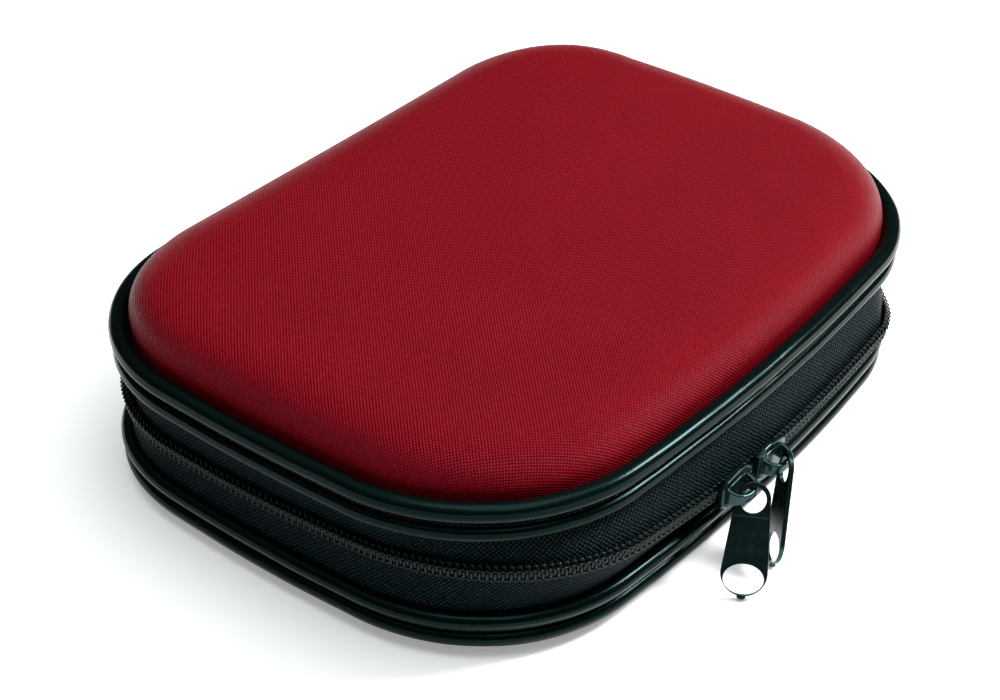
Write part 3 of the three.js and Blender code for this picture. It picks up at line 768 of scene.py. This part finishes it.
def band(name, path, widths, thickness, bevel):
    """A bent strap along a path in the XY plane, as wide along Z as widths say."""
    path = smooth_through(path, 60)
    widths = np.interp(np.linspace(0, 1, 60), np.linspace(0, 1, len(widths)), widths)
    t = unit_tangents(path)
    n = np.c_[t[:, 1], -t[:, 0]]
    h = thickness / 2
    pts = []
    for k, w in enumerate(widths):
        c = w / 2
        loop = []
        for sx, sz, start in ((1, 1, 0), (-1, 1, 90), (-1, -1, 180), (1, -1, 270)):
            for step in range(4):
                a = math.radians(start + 30 * step)
                loop.append((sx * (h - bevel) + bevel * math.cos(a),
                             sz * (c - bevel) + bevel * math.sin(a)))
        loop = np.array(loop)
        xy = path[k] + n[k] * loop[:, :1]
        pts.append(np.c_[xy, loop[:, 1]])
    return grid_object(name, np.array(pts), False, True, None, caps=True)


def slider_body(name, nose):
    """A zip slider with its plate facing -Y; nose is +1 when its wide end points to +X."""
    half = 4.8
    face_y, post_y = -3.65, -0.6
    edge = [(-half, -2.1), (-half + 1.4, -3.2), (half * 0.2, -4.0), (half * 0.6, -3.8), (half, -2.7)]
    outer = edge + [(x, -z) for x, z in edge[::-1]]
    inner = [(-half, -2), (half, -3), (half, 3), (-half, 2)]
    upright = Matrix.Rotation(math.pi / 2, 4, "X")

    def layer(part, line, y, thickness, bevel):
        flat = plate(name + part, [line], thickness, bevel)
        return place(flat, Matrix.Translation((0, y, 0)) @ upright)

    raised = [(x * 0.78 + 0.2, z * 0.62) for x, z in outer]
    post = [(half - 3.2, -0.14), (half - 0.4, -0.3), (half - 0.4, 0.3), (half - 3.2, 0.14)]
    lip = [(-half * 0.8, -3.5), (half * 0.6, -3.5), (half * 0.6, -2.75), (-half * 0.8, -2.75)]
    parts = [layer("_front", outer, face_y + 0.6, 1.2, 0.3), layer("_back", inner, 1.9, 0.7, 0.2),
             layer("_post", post, post_y, 4.3, 0.1), layer("_lip", lip, -2.1, 1.6, 0.15),
             layer("_boss", raised, face_y + 0.02, 0.4, 0.18)]
    leg = [(-3.3, 0.3), (-3.35, -0.7), (-3.0, -1.9), (-2.2, -2.75), (-1.1, -3.15)]
    arch = leg + [(0, -3.25)] + [(-x, y) for x, y in leg[::-1]]
    widths = [3.8, 3.3, 2.6, 2.1, 1.9]
    path = [(x, y + face_y) for x, y in arch]
    parts.append(band(name + "_bail", path, widths + widths[::-1], 1.05, 0.38))
    body = joined(name + "_body", parts)
    if nose < 0:
        body.data.transform(Matrix.Scale(-1, 4, (1, 0, 0)))
        body.data.flip_normals()
    return body


def pull_tab(name):
    """A pull tab in its own frame: +Y up, +Z the face, the strap it hangs on at the origin."""
    top_r, tip_r, eye_r = 3.4, 4.6, 2.6
    high, low = 2.5, -20.0
    eye_y, hole_y = -1.1, low + 3.35
    cross = eye_y - eye_r - 0.75
    eye = ellipse(0, eye_y, eye_r, eye_r, 44)
    hole = ellipse(0, hole_y, tip_r - 0.6, 3.0, 52)
    crown = ellipse(0, high - top_r, top_r, top_r, 30, 0, math.pi)
    foot = ellipse(0, low + tip_r, tip_r, tip_r, 40, math.pi, 2 * math.pi)
    half = top_r + (tip_r - top_r) * (high - top_r - cross) / (high - top_r - low - tip_r)
    leaf = plate(name + "_plate", [crown + foot, eye, hole], 0.98, 0.14)
    rib_line = [(-half, cross), (half, cross), (half, cross + 0.22), (-half, cross + 0.22)]
    rib = plate(name + "_rib", [rib_line], 1.03, 0.05)
    nub_side = [(-0.95, low + 0.4), (-0.85, low - 0.3), (-0.45, low - 0.68)]
    nub_line = nub_side + [(-x, y) for x, y in nub_side[::-1]]
    nub = plate(name + "_nub", [nub_line], 1.25, 0.28)
    return joined(name + "_leaf", [leaf, rib, nub])


# for each slider: its x, its nose's direction, then how its tab hangs, what its face looks at and a twist
TABS = {
    "left": (-20.0, 1, (-0.45, -0.22, -0.86), (-0.7, -0.5, 0.5), 0),
    "right": (-7.6, -1, (-0.43, -0.19, -0.882), (-0.827, 0.514, 0.218), -14),
}


def make_sliders():
    for side, (x, nose, down, face_to, twist) in TABS.items():
        turn = Matrix.Rotation(math.asin(x / FRONT_ARC_R), 4, "Z")
        at = Matrix.Translation((x, front_y(x), PIVOT_Z - SLIDER_DROP))
        body = place(slider_body("slider_" + side, nose), at @ turn)
        finish_piece(body, METAL, "slider_" + side, "slider_" + side)
        up = -Vector(down).normalized()
        out = Vector(face_to)
        out = Matrix.Rotation(math.radians(twist), 3, up) @ (out - up * out.dot(up)).normalized()
        across = up.cross(out)
        basis = Matrix((across, up, out)).transposed().to_4x4()
        origin = Matrix.Translation((x, front_y(x) - STRAP_OUT, PIVOT_Z - SLIDER_DROP))
        tab = place(pull_tab("pull_tab_" + side), origin @ basis @ Matrix.Translation((0.5, 0, 0)))
        finish_piece(tab, METAL, "pull_tab_" + side, "pull_tab_" + side)


# ---- linings and contents ---------------------------------------------------------------
def node_box(node):
    """The low and high corners of a CAD node, in millimetres."""
    low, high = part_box(node)
    return np.array(low) / MM, np.array(high) / MM


def slab(name, top, bottom, u, v, keep=None):
    """A closed sheet between two (n, m, 3) grids. keep marks the cells that are cloth, not holes."""
    n, m = top.shape[:2]
    keep = np.ones((n - 1, m - 1), bool) if keep is None else keep
    at = np.arange(n * m).reshape(n, m)
    a, b, c, d = at[:-1, :-1], at[1:, :-1], at[1:, 1:], at[:-1, 1:]
    cells = np.stack([a, b, c, d], -1)[keep]
    around = np.pad(keep, 1)
    beside = {(0, 1): (d, a), (1, 0): (a, b), (2, 1): (b, c), (1, 2): (c, d)}
    walls = []
    for (i, j), (p, q) in beside.items():
        open_side = keep & ~around[i:i + n - 1, j:j + m - 1]
        p, q = p[open_side], q[open_side]
        walls.append(np.stack([q, p, p + n * m, q + n * m], -1))
    faces = np.vstack([cells, cells[:, ::-1] + n * m, *walls])
    used, faces = np.unique(faces, return_inverse=True)
    faces = faces.reshape(-1, 4)
    points = np.vstack([top.reshape(-1, 3), bottom.reshape(-1, 3)])[used]
    obj = new_object(name, points, faces.tolist())
    layer = obj.data.uv_layers.new(name="cloth")
    flat = np.tile(np.c_[np.ravel(u), np.ravel(v)], (2, 1))[used][faces.ravel()] * MM
    layer.data.foreach_set("uv", flat.astype(np.float32).ravel())
    return face_out(obj)


def creases(x, y, count, length, width, depth):
    """Soft random creases over arrays x and y, each pressed in by about depth."""
    total = np.zeros_like(x)
    for _ in range(count):
        cx, cy = RNG.uniform(x.min(), x.max()), RNG.uniform(y.min(), y.max())
        turn = RNG.uniform(0, math.pi)
        along = (x - cx) * math.cos(turn) + (y - cy) * math.sin(turn)
        across = (y - cy) * math.cos(turn) - (x - cx) * math.sin(turn) + 0.02 * along ** 2
        total += RNG.uniform(0.4, 1) * np.exp(-(along / length) ** 2 - (across / width) ** 2)
    return -depth * np.minimum(total, 1.5)


def pillow(node, seal, run, crimp, depth, seam, step, corner):
    """A filled packet in a node's box.

    seal is the width of the flat crimped edge, run how far in the filling reaches its full height,
    crimp and depth the height of the edge's ridges and of the creases, seam the edge's level,
    step the grid's spacing and corner the radius of the corners."""
    low, high = node_box(node)
    nx, ny = (int((high[k] - low[k]) / step) + 1 for k in (0, 1))
    x, y = np.linspace(low[0], high[0], nx), np.linspace(low[1], high[1], ny)
    x, y = np.meshgrid(x, y, indexing="ij")
    d = np.minimum(np.minimum(x - low[0], high[0] - x), np.minimum(y - low[1], high[1] - y))
    full = np.clip((d - seal) / run, 0, 1)
    full = np.sqrt(1 - (1 - full) ** 2) * (0.92 + 0.08 * np.cos(x / 9) * np.cos(y / 7))
    z = low[2] + seam * (high[2] - low[2])
    ridges = crimp * np.sin(2 * math.pi * x / 1.6) * (full <= 0)
    crease = creases(x, y, 26, 9.0, 1.1, depth) * (0.3 + 0.7 * full)
    up = z + 0.14 + ridges + (high[2] - z - 0.2) * full + crease * (full > 0)
    down = z - 0.14 + ridges - (z - low[2] - 0.2) * full - 0.5 * crease * full
    cx, cy = (low[:2] + high[:2]) / 2
    hx, hy = (high[:2] - low[:2]) / 2
    kx, ky = np.abs(x - cx) - (hx - corner), np.abs(y - cy) - (hy - corner)
    out = np.hypot(np.maximum(kx, 0), np.maximum(ky, 0))
    pull = np.where((kx > 0) & (ky > 0) & (out > corner), corner / np.maximum(out, 1e-6), 1.0)
    x = np.where(pull < 1, cx + np.sign(x - cx) * (hx - corner + kx * pull), x)
    y = np.where(pull < 1, cy + np.sign(y - cy) * (hy - corner + ky * pull), y)
    return slab(node + "_pack", np.dstack([x, y, up]), np.dstack([x, y, down]), x, y)


def ribbon(name, path, normals, half, across):
    """A cloth strip: path and normals are (n, m, 3) and half is its half thickness."""
    length = np.concatenate([[0], np.cumsum(np.linalg.norm(np.diff(path[:, 0], axis=0), axis=1))])
    run = np.repeat(length[:, None], path.shape[1], 1)
    cross = np.repeat(across[None, :], path.shape[0], 0)
    return slab(name, path + normals * half, path - normals * half, run, cross), length[-1]


def make_linings():
    lid_line = [(22, 0), (18.9, 0.1), (15.5, 0.4), (12.5, 1.2), (10.1, 2.4), (8.6, 4.0), (7.6, 6.0),
                (7.15, 8), (7.1, 9)]
    base_line = [(22, 0), (18.9, 0.06), (15.5, 0.2), (12.6, 0.6), (10.4, 1.3), (8.9, 2.3), (8.0, 3.6),
                 (7.55, 5), (7.5, 6)]
    lid = dome("lid_lining_cloth", lid_line, 0.6, 28.0, 42.3, 1, 0.06, lip=2.1)
    finish_piece(lid, LINING, "lid", "lid_lining")
    base = dome("base_lining_cloth", base_line, 0.6, 10.5, 2.5, -1, 0.06, lip=2.1)
    finish_piece(base, LINING, "base", "base_lining")


NET_INSET = 8.6
NET_PITCH = 2.0
NET_THREAD = 0.62
NET_HALF_T = 0.13


def make_net():
    """A mesh of square threads filling the lid's plan behind its front edge, with a sewn hem."""
    low, high = node_box("net_pocket")
    front, level = low[1] - 1.4, (low[2] + high[2]) / 2
    p, n = outline(np.linspace(0, PERIMETER, 721)[:-1])
    rim = p - n * NET_INSET
    rim_angle, rim_reach = np.arctan2(rim[:, 1], rim[:, 0]), np.hypot(*rim.T)
    order = np.argsort(rim_angle)
    marks = np.arange(-40, 41) * NET_PITCH
    lines = np.sort(np.concatenate([marks, marks + NET_THREAD]))
    rows = lines[(lines > front) & (lines < high[1] + 1)]
    x, y = np.meshgrid(lines, rows, indexing="ij")

    def reach(px, py):
        return np.interp(np.arctan2(py, px), rim_angle[order], rim_reach[order], period=2 * math.pi)

    mx, my = (x[1:, 1:] + x[:-1, :-1]) / 2, (y[1:, 1:] + y[:-1, :-1]) / 2
    thread_x = np.diff(lines) < NET_PITCH / 2
    thread_y = np.diff(rows) < NET_PITCH / 2
    keep = (thread_x[:, None] | thread_y[None, :]) & (np.hypot(mx, my) < reach(mx, my))
    scale = np.minimum(1, reach(x, y) / np.maximum(np.hypot(x, y), 1e-6))
    drift = 0.16 * np.sin(x / 3.1 + 1.3 * np.sin(y / 7)) * np.sin(y / 4.3)
    held = np.clip((reach(x, y) - np.hypot(x, y)) / 16, 0, 1) * np.clip((y - front) / 14, 0, 1)
    x, y = x * scale, y * scale
    z = level + held ** 0.7 * np.exp(-((y - 4) / 34) ** 2)
    z += 0.12 * np.sin(x / 6.3) * np.sin(y / 5.1) * held
    x, y = x + drift * held, y + drift[::-1, ::-1] * held
    t = NET_HALF_T
    net = slab("net_mesh", np.dstack([x, y, z + t]), np.dstack([x, y, z - t]), x, y, keep)
    s = np.linspace(0, PERIMETER, 1200)
    q, m = outline(s)
    s = s[(q - m * NET_INSET)[:, 1] > low[1] + 0.5]
    one = np.ones((len(s), 1))
    hem_inset = NET_INSET + np.array([0.05, 0.05, 2.4, 2.4])
    hem_z = level + one * np.array([0.28, -0.28, -0.24, 0.24])
    hem = sweep("net_hem", s, one * hem_inset, hem_z, closed=False)
    net = joined("net_cloth", [net, hem])
    work = bmesh.new()
    work.from_mesh(net.data)
    flat_area = sum(f.calc_area() for f in work.faces if f.normal.z > 0.7)
    work.free()
    finish_piece(net, NET, "lid", "net_pocket")


def make_net_binding():
    """The gathered elastic edge across the front of the net."""
    low, high = node_box("net_pocket_binding")
    xs = np.linspace(low[0], high[0], 300)
    a = np.linspace(0, 2 * math.pi, 20, endpoint=False)
    cy, cz = (low[1] + high[1]) / 2, (low[2] + high[2]) / 2
    hy, hz = (high[1] - low[1]) / 2, (high[2] - low[2]) / 2 - 0.1
    ry = np.sign(np.cos(a)) * np.abs(np.cos(a)) ** 0.5 * hy
    rz = np.sign(np.sin(a)) * np.abs(np.sin(a)) ** 0.5 * hz
    gather = 1 + 0.10 * np.sin(xs / 0.62) * (0.6 + 0.4 * np.sin(xs / 5.3))
    pts = np.dstack([np.repeat(xs[:, None], 20, 1), cy + ry[None, :] * np.ones((300, 1)),
                     cz + rz[None, :] * gather[:, None]])
    u, v = np.repeat(xs[:, None], 20, 1) * MM, np.repeat(a[None, :], 300, 0) * MM
    binding = grid_object("net_binding_band", pts, False, True, (u, v), caps=True)
    finish_piece(binding, ELASTIC, "lid", "net_pocket_binding")


def make_elastic():
    low, high = node_box("elastic_loop")
    y0, y1, z0, z1 = low[1] + 0.4, high[1] - 0.4, low[2], high[2] - 0.4
    rise = [(0, z0), (0, z0 + 7), (0, z0 + 14), (3.3, z1 - 3), (10, z1 - 0.1), (20, z1)]
    run = smooth_through([(y0 + y, z) for y, z in rise] + [(y1 - y, z) for y, z in rise[::-1]], 260)
    t = unit_tangents(run)
    xs = np.linspace(low[0], high[0], 73)
    rib = 0.09 * np.cos(2 * math.pi * (xs - low[0]) / 1.5)
    weft = 0.03 * np.sin(2 * math.pi * np.arange(260) * 0.25)
    one = np.ones((260, 73))
    path = np.dstack([one * xs, one * run[:, :1], one * run[:, 1:]])
    normal = np.dstack([0 * one, one * -t[:, 1:], one * t[:, :1]])
    half = (0.28 + rib[None, :] + weft[:, None])[:, :, None]
    loop, length = ribbon("elastic_band", path, normal, half, xs)
    finish_piece(loop, ELASTIC, "base", "elastic_loop")


def make_rolls():
    for node, turn in (("roll_bandage_1", 0.6), ("roll_bandage_2", 1.9)):
        low, high = node_box(node)
        cx, cy, cz = (low + high) / 2
        r1 = (high[1] - low[1]) / 2 - 0.35
        r0, pitch = 2.0, 0.86
        turns = (r1 - r0) / pitch
        theta = np.linspace(0, 2 * math.pi * turns, int(turns * 44))
        r = r0 + pitch * theta / (2 * math.pi) + 0.05 * np.sin(theta * 2.3 + turn)
        k = np.linspace(-1, 1, 33)
        shift = 0.22 * np.sin(theta * 0.61 + turn) + 0.12 * np.sin(theta * 1.7)
        x = cx + k[None, :] * (31 - 0.4) + shift[:, None] * 0.9
        outer = np.clip((theta - theta[-1] + 7) / 7, 0, 1)
        soft = 0.09 * np.sin(k * 17 + turn)[None, :] * np.sin(theta * 3)[:, None] * outer[:, None]
        rr = r[:, None] + soft
        a = theta[:, None] + turn + 1.1
        path = np.dstack([x, cy + rr * np.cos(a), cz + rr * np.sin(a)])
        ones = np.ones_like(x)
        normal = np.dstack([0 * x, ones * np.cos(a), ones * np.sin(a)])
        roll, length = ribbon(node + "_cloth", path, normal, 0.29, k * 31)
        finish_piece(roll, GAUZE, "base", node)


def make_triangular_bandage():
    low, high = node_box("triangular_bandage")
    layers, height = 5, high[2] - low[2]
    pitch = height / layers
    half_t, bend = pitch * 0.40, pitch / 2
    x0, x1 = low[0] + bend + half_t, high[0] - bend - half_t
    run = []
    for k in range(layers):
        z = low[2] + pitch * (k + 0.5)
        span = np.linspace(x0, x1, 40) if k % 2 == 0 else np.linspace(x1, x0, 40)
        run += [(x, z) for x in span]
        if k < layers - 1:
            way = 1 if k % 2 == 0 else -1
            a = np.linspace(-math.pi / 2, math.pi / 2, 12)[1:-1]
            run += [(span[-1] + way * bend * math.cos(t), z + bend + bend * math.sin(t)) for t in a]
    run = np.array(run)
    t = unit_tangents(run)
    k = np.linspace(0, 1, 49)
    slip = 0.6 * np.sin(np.linspace(0, 9, len(run)))
    y = low[1] + 0.7 + k[None, :] * (high[1] - low[1] - 1.4)
    y = y + slip[:, None] * (2 * k[None, :] - 1) * 0.5
    soft = 0.10 * np.sin(y / 3.1) * np.sin(run[:, :1] / 4.3)
    path = np.dstack([run[:, :1] + 0 * y, y, run[:, 1:] + soft])
    normal = np.dstack([-t[:, 1:] + 0 * y, 0 * y, t[:, :1] + 0 * y])
    cloth, length = ribbon("folded_bandage", path, normal, half_t, k * 78)
    finish_piece(cloth, GAUZE, "base", "triangular_bandage")


# kind, how many, look, then pillow's seal, run, crimp, depth, seam, step and corner
PACKETS = [
    ("glove_packet", 0, FILM, (3.0, 9.0, 0.0, 0.5, 0.3, 0.7, 1.0)),
    ("gauze_packet", 2, PAPER, (5.0, 5.0, 0.12, 0.16, 0.35, 0.5, 0.6)),
    ("plaster", 3, PLASTER, (2.2, 3.0, 0.05, 0.06, 0.35, 0.5, 5.5)),
    ("wipe_sachet", 3, FOIL, (3.0, 4.0, 0.14, 0.14, 0.35, 0.3, 0.4)),
]


def make_packets():
    for kind, count, look, shape in PACKETS:
        for node in [f"{kind}_{k + 1}" for k in range(count)] or [kind]:
            pack = pillow(node, *shape)
            finish_piece(pack, look, "base", node)


def lathe(name, profile, centre, count):
    """A closed (radius, z) profile turned about a vertical axis through centre."""
    profile = np.array(profile, float)
    a = np.linspace(0, 2 * math.pi, count, endpoint=False)
    ones = np.ones((count, 1))
    pts = np.dstack([centre[0] + np.cos(a)[:, None] * profile[None, :, 0],
                     centre[1] + np.sin(a)[:, None] * profile[None, :, 0],
                     centre[2] + ones * profile[None, :, 1]])
    run = np.concatenate([[0], np.cumsum(np.hypot(*np.diff(profile, axis=0).T))])
    u = np.repeat((a * profile[:, 0].max())[:, None], len(profile), 1) * MM
    return grid_object(name, pts, True, True, (u, ones * run[None, :] * MM), flat_uv=True)


def make_tape_roll():
    """A roll of tape, its wound ends ridged by the layers and its cut end toothed, and its spool."""
    low, high = node_box("tape_roll")
    centre = ((low[0] + high[0]) / 2, (low[1] + high[1]) / 2, 0)
    r1, r0 = (high[0] - low[0]) / 2, 8.4
    ends = np.linspace(r0 + 0.1, r1 - 0.1, 150)
    layers = 0.05 * np.abs(np.sin(ends * math.pi / 0.42)) + 0.03 * np.sin(ends * 2.1)
    top = list(zip(ends, high[2] - 0.1 + layers - 0.05))
    bottom = list(zip(ends[::-1], low[2] + 0.1 - layers[::-1] + 0.05))
    wall = [(r1, z) for z in np.linspace(high[2] - 0.2, low[2] + 0.2, 14)]
    bore = [(r0, z) for z in np.linspace(low[2] + 0.2, high[2] - 0.2, 14)]
    roll = lathe("tape_roll_body", top + wall + bottom + bore, centre, 96)
    end_z = np.array([high[2] - 0.35, low[2] + 0.35])
    a = np.linspace(-2.6, -2.2, 12)
    flap_r = r1 + 0.02
    flap = np.array([[(centre[0] + flap_r * math.cos(t), centre[1] + flap_r * math.sin(t), z)
                      for z in np.linspace(*end_z, 30)] for t in a])
    teeth = 0.5 * np.abs((np.arange(30) / 2) % 1 - 0.5)
    flap[-1, :, 0] += teeth * 0.8
    out = flap - np.array([centre[0], centre[1], 0])
    out[:, :, 2] = 0
    out /= np.linalg.norm(out, axis=2)[:, :, None]
    end = slab("tape_end", flap - 0.02 * out, flap - 0.25 * out, flap[:, :, 0], flap[:, :, 2])
    finish_piece(joined("tape_roll_wound", [roll, end]), PAPER, "base", "tape_roll")
    low, high = node_box("tape_spool")
    r1, r0, z0, z1 = (high[0] - low[0]) / 2, 6.9, low[2], high[2]
    edge = [(r1 - 0.2, z1), (r1, z1 - 0.2)] + [(r1, z) for z in np.linspace(z1 - 1, z0 + 1, 8)]
    edge += [(r1, z0 + 0.2), (r1 - 0.2, z0), (r0 + 0.2, z0), (r0, z0 + 0.2)]
    edge += [(r0, z) for z in np.linspace(z0 + 1, z1 - 1, 8)] + [(r0, z1 - 0.2), (r0 + 0.2, z1)]
    finish_piece(lathe("tape_spool_tube", edge, centre, 96), SPOOL, "base", "tape_spool")


SCISSOR_AT = (5.0, -4.0)


def scissor_half(name, side, z):
    """One blade with its shank and finger bow; side is +1 or -1 for the two mirrored halves."""
    blade = smooth_through([(40, -0.25 * side), (30, 0.15 * side), (18, 1.5 * side), (6, 2.7 * side),
                            (-2, 3.6 * side), (-10, 4.6 * side), (-18, 6.0 * side),
                            (-25.4, 7.3 * side)], 70)
    under = smooth_through([(-25.4, 4.3 * side), (-18, 2.6 * side), (-12, 0.6 * side), (-6, -1.8 * side),
                            (0, -2.9 * side), (8, -3.3 * side), (18, -2.6 * side), (30, -1.2 * side),
                            (39.4, -0.5 * side)], 70)
    line = [tuple(q) for q in np.vstack([blade, under])]
    shank = plate(name + "_shank", [line, ellipse(0, 0, 1.75, 1.75, 40)], 1.4, 0.22)
    ground = [(38.5, -0.35 * side), (20, 0.1 * side), (7, 0.9 * side), (7, -2.4 * side), (20, -1.9 * side)]
    face = place(plate(name + "_grind", [ground], 0.5, 0.2), Matrix.Translation((0, 0, 0.52)))
    a = np.linspace(0, 2 * math.pi, 120, endpoint=False)
    ring = np.c_[-35 + 9.9 * np.cos(a), 7.4 * side + 5.7 * np.sin(a), 0 * a]
    bow = tube(name + "_bow", ring, 1.1, 18, True, 0.62)
    half = joined(name + "_half", [shank, face, bow])
    return place(half, Matrix.Translation((*SCISSOR_AT, z + 0.7)))


def make_scissors():
    halves = (("scissor_blade_lower", 1, "lid"), ("scissor_blade_upper", -1, "scissor_half"))
    for node, side, body in halves:
        low, high = node_box(node)
        finish_piece(scissor_half(node, side, low[2]), STEEL, body, node)
    low, high = node_box("scissor_rivet")
    z0, z1, r = low[2], high[2], 2.6
    a = np.linspace(0, math.pi / 2, 10)
    head = [(0.02 + r * math.cos(t), z1 - 0.75 + 0.75 * math.sin(t)) for t in a[::-1]]
    foot = [(0.02 + r * math.cos(t), z0 + 0.75 - 0.75 * math.sin(t)) for t in a]
    shaft = [(1.5, z1 - 0.8), (1.5, z0 + 0.8)]
    rivet = lathe("rivet_turned", head + shaft + foot, (*SCISSOR_AT, 0), 48)
    finish_piece(weld(rivet), STEEL, "lid", "scissor_rivet")


def make_tweezers():
    """One strip bent double, with small grip ridges near its tips."""
    low, high = node_box("tweezers")
    cy, cz = (low[1] + high[1]) / 2, (low[2] + high[2]) / 2

    def full_line(w):
        half = smooth_through([(-38, 0.5 + w), (-24, 0.62 + w * 0.9), (-8, 1.5 + w), (12, 2.35 + w),
                               (30, 2.6 + w), (37, 2.5 + w), (40.2 + w * 0.6, 1.3 + w * 0.6),
                               (40.8 + w, 0)], 90)
        return [tuple(q) for q in half] + [(x, -y) for x, y in half[::-1][1:]]

    line = full_line(0.92) + full_line(0.0)[::-1]
    body = plate("tweezers_body", [line], 2.8, 0.22)
    grips = []
    for k, x in enumerate(np.arange(-16, -6, 1.1)):
        ridge = [(x, 0), (x + 0.5, 0), (x + 0.5, 0.16), (x, 0.16)]
        out = 1.42 + (x + 24) * 0.055
        for s, y in ((1, out), (-1, -out - 0.16)):
            grip = plate(f"tweezers_grip_{k}_{s}", [ridge], 2.2, 0.05)
            grips.append(place(grip, Matrix.Translation((0, y, 0))))
    tweezers = joined("tweezers_bent", [body, *grips])
    finish_piece(place(tweezers, Matrix.Translation((0, cy, cz))), STEEL, "lid", "tweezers")


def make_contents():
    make_linings()
    make_net()
    make_net_binding()
    make_elastic()
    make_rolls()
    make_triangular_bandage()
    make_packets()
    make_tape_roll()
    make_scissors()
    make_tweezers()


# ---- stage, lights and camera -----------------------------------------------------------
def make_stage():
    corners = [(x * FLOOR_HALF, y * FLOOR_HALF, 0) for x, y in ((-1, -1), (1, -1), (1, 1), (-1, 1))]
    floor = new_object("floor", corners, [(0, 1, 2, 3)], False)
    white = Shader("floor_white", Base_Color=(0.95, 0.95, 0.95, 1), Roughness=0.9, Specular_IOR_Level=0.1,
                   Emission_Color=(0.96, 1, 1, 1), Emission_Strength=0.3)
    floor.data.materials.append(white.material)


def area_light(name, at, aim, size, power):
    light = bpy.data.lights.new(name, "AREA")
    light.shape = "RECTANGLE"
    light.size, light.size_y = (k * MM for k in size)
    light.energy = power
    obj = bpy.data.objects.new(name, light)
    bpy.context.scene.collection.objects.link(obj)
    obj.location = Vector(at) * MM
    obj.rotation_euler = (Vector(aim) - Vector(at)).to_track_quat("-Z", "Y").to_euler()


def make_world():
    """A white glow that is strongest straight overhead, over a dim surround."""
    world = bpy.data.worlds.new("studio")
    bpy.context.scene.world = world
    world.use_nodes = True
    sky = Nodes(world.node_tree)
    where = sky.node("ShaderNodeTexCoord").outputs["Generated"]
    height = sky.node("ShaderNodeSeparateXYZ", {0: where}).outputs[2]
    glow = sky.node("ShaderNodeMath", {0: height, 1: 6.0}, operation="POWER", use_clamp=True)
    back = world.node_tree.nodes["Background"]
    back.inputs["Color"].default_value = (0.95, 1.0, 1.0, 1)
    sky.feed(back.inputs["Strength"], sky.math("MULTIPLY_ADD", glow.outputs[0], 1.4, 0.07))


def make_lights():
    make_world()
    area_light("overhead", (20, -160, 1000), (0, 0, 0), (900, 800), 6.0)
    area_light("key", (560, -440, 700), (20, 0, 20), (300, 240), 16.5)


def make_camera():
    az, el, roll = (math.radians(a) for a in (CAMERA_AZIMUTH, CAMERA_ELEVATION, CAMERA_ROLL))
    back = Vector((math.sin(az) * math.cos(el), -math.cos(az) * math.cos(el), math.sin(el)))
    right = Vector((math.cos(az), math.sin(az), 0))
    up = back.cross(right)
    c, s = math.cos(roll), math.sin(roll)
    right, up = right * c + up * s, up * c - right * s
    cam = bpy.data.cameras.new("camera")
    cam.sensor_width = 36
    cam.lens = LENS
    cam.clip_start = 0.01
    obj = bpy.data.objects.new("camera", cam)
    bpy.context.scene.collection.objects.link(obj)
    m = Matrix((right, up, back)).transposed().to_4x4()
    m.translation = (Vector(CAMERA_TARGET) + back * CAMERA_DISTANCE) * MM
    obj.matrix_world = m
    bpy.context.scene.camera = obj


def main():
    make_camera()
    make_stage()
    make_lights()
    make_panels()
    make_piping()
    make_edge_bands()
    make_tapes()
    make_coils()
    make_sliders()
    make_contents()
    hinge = make_hinge()
    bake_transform(hinge)
    settings = bpy.context.scene.view_settings
    settings.view_transform = "Standard"
    settings.look = "None"


main()
bpy.context.view_layer.update()
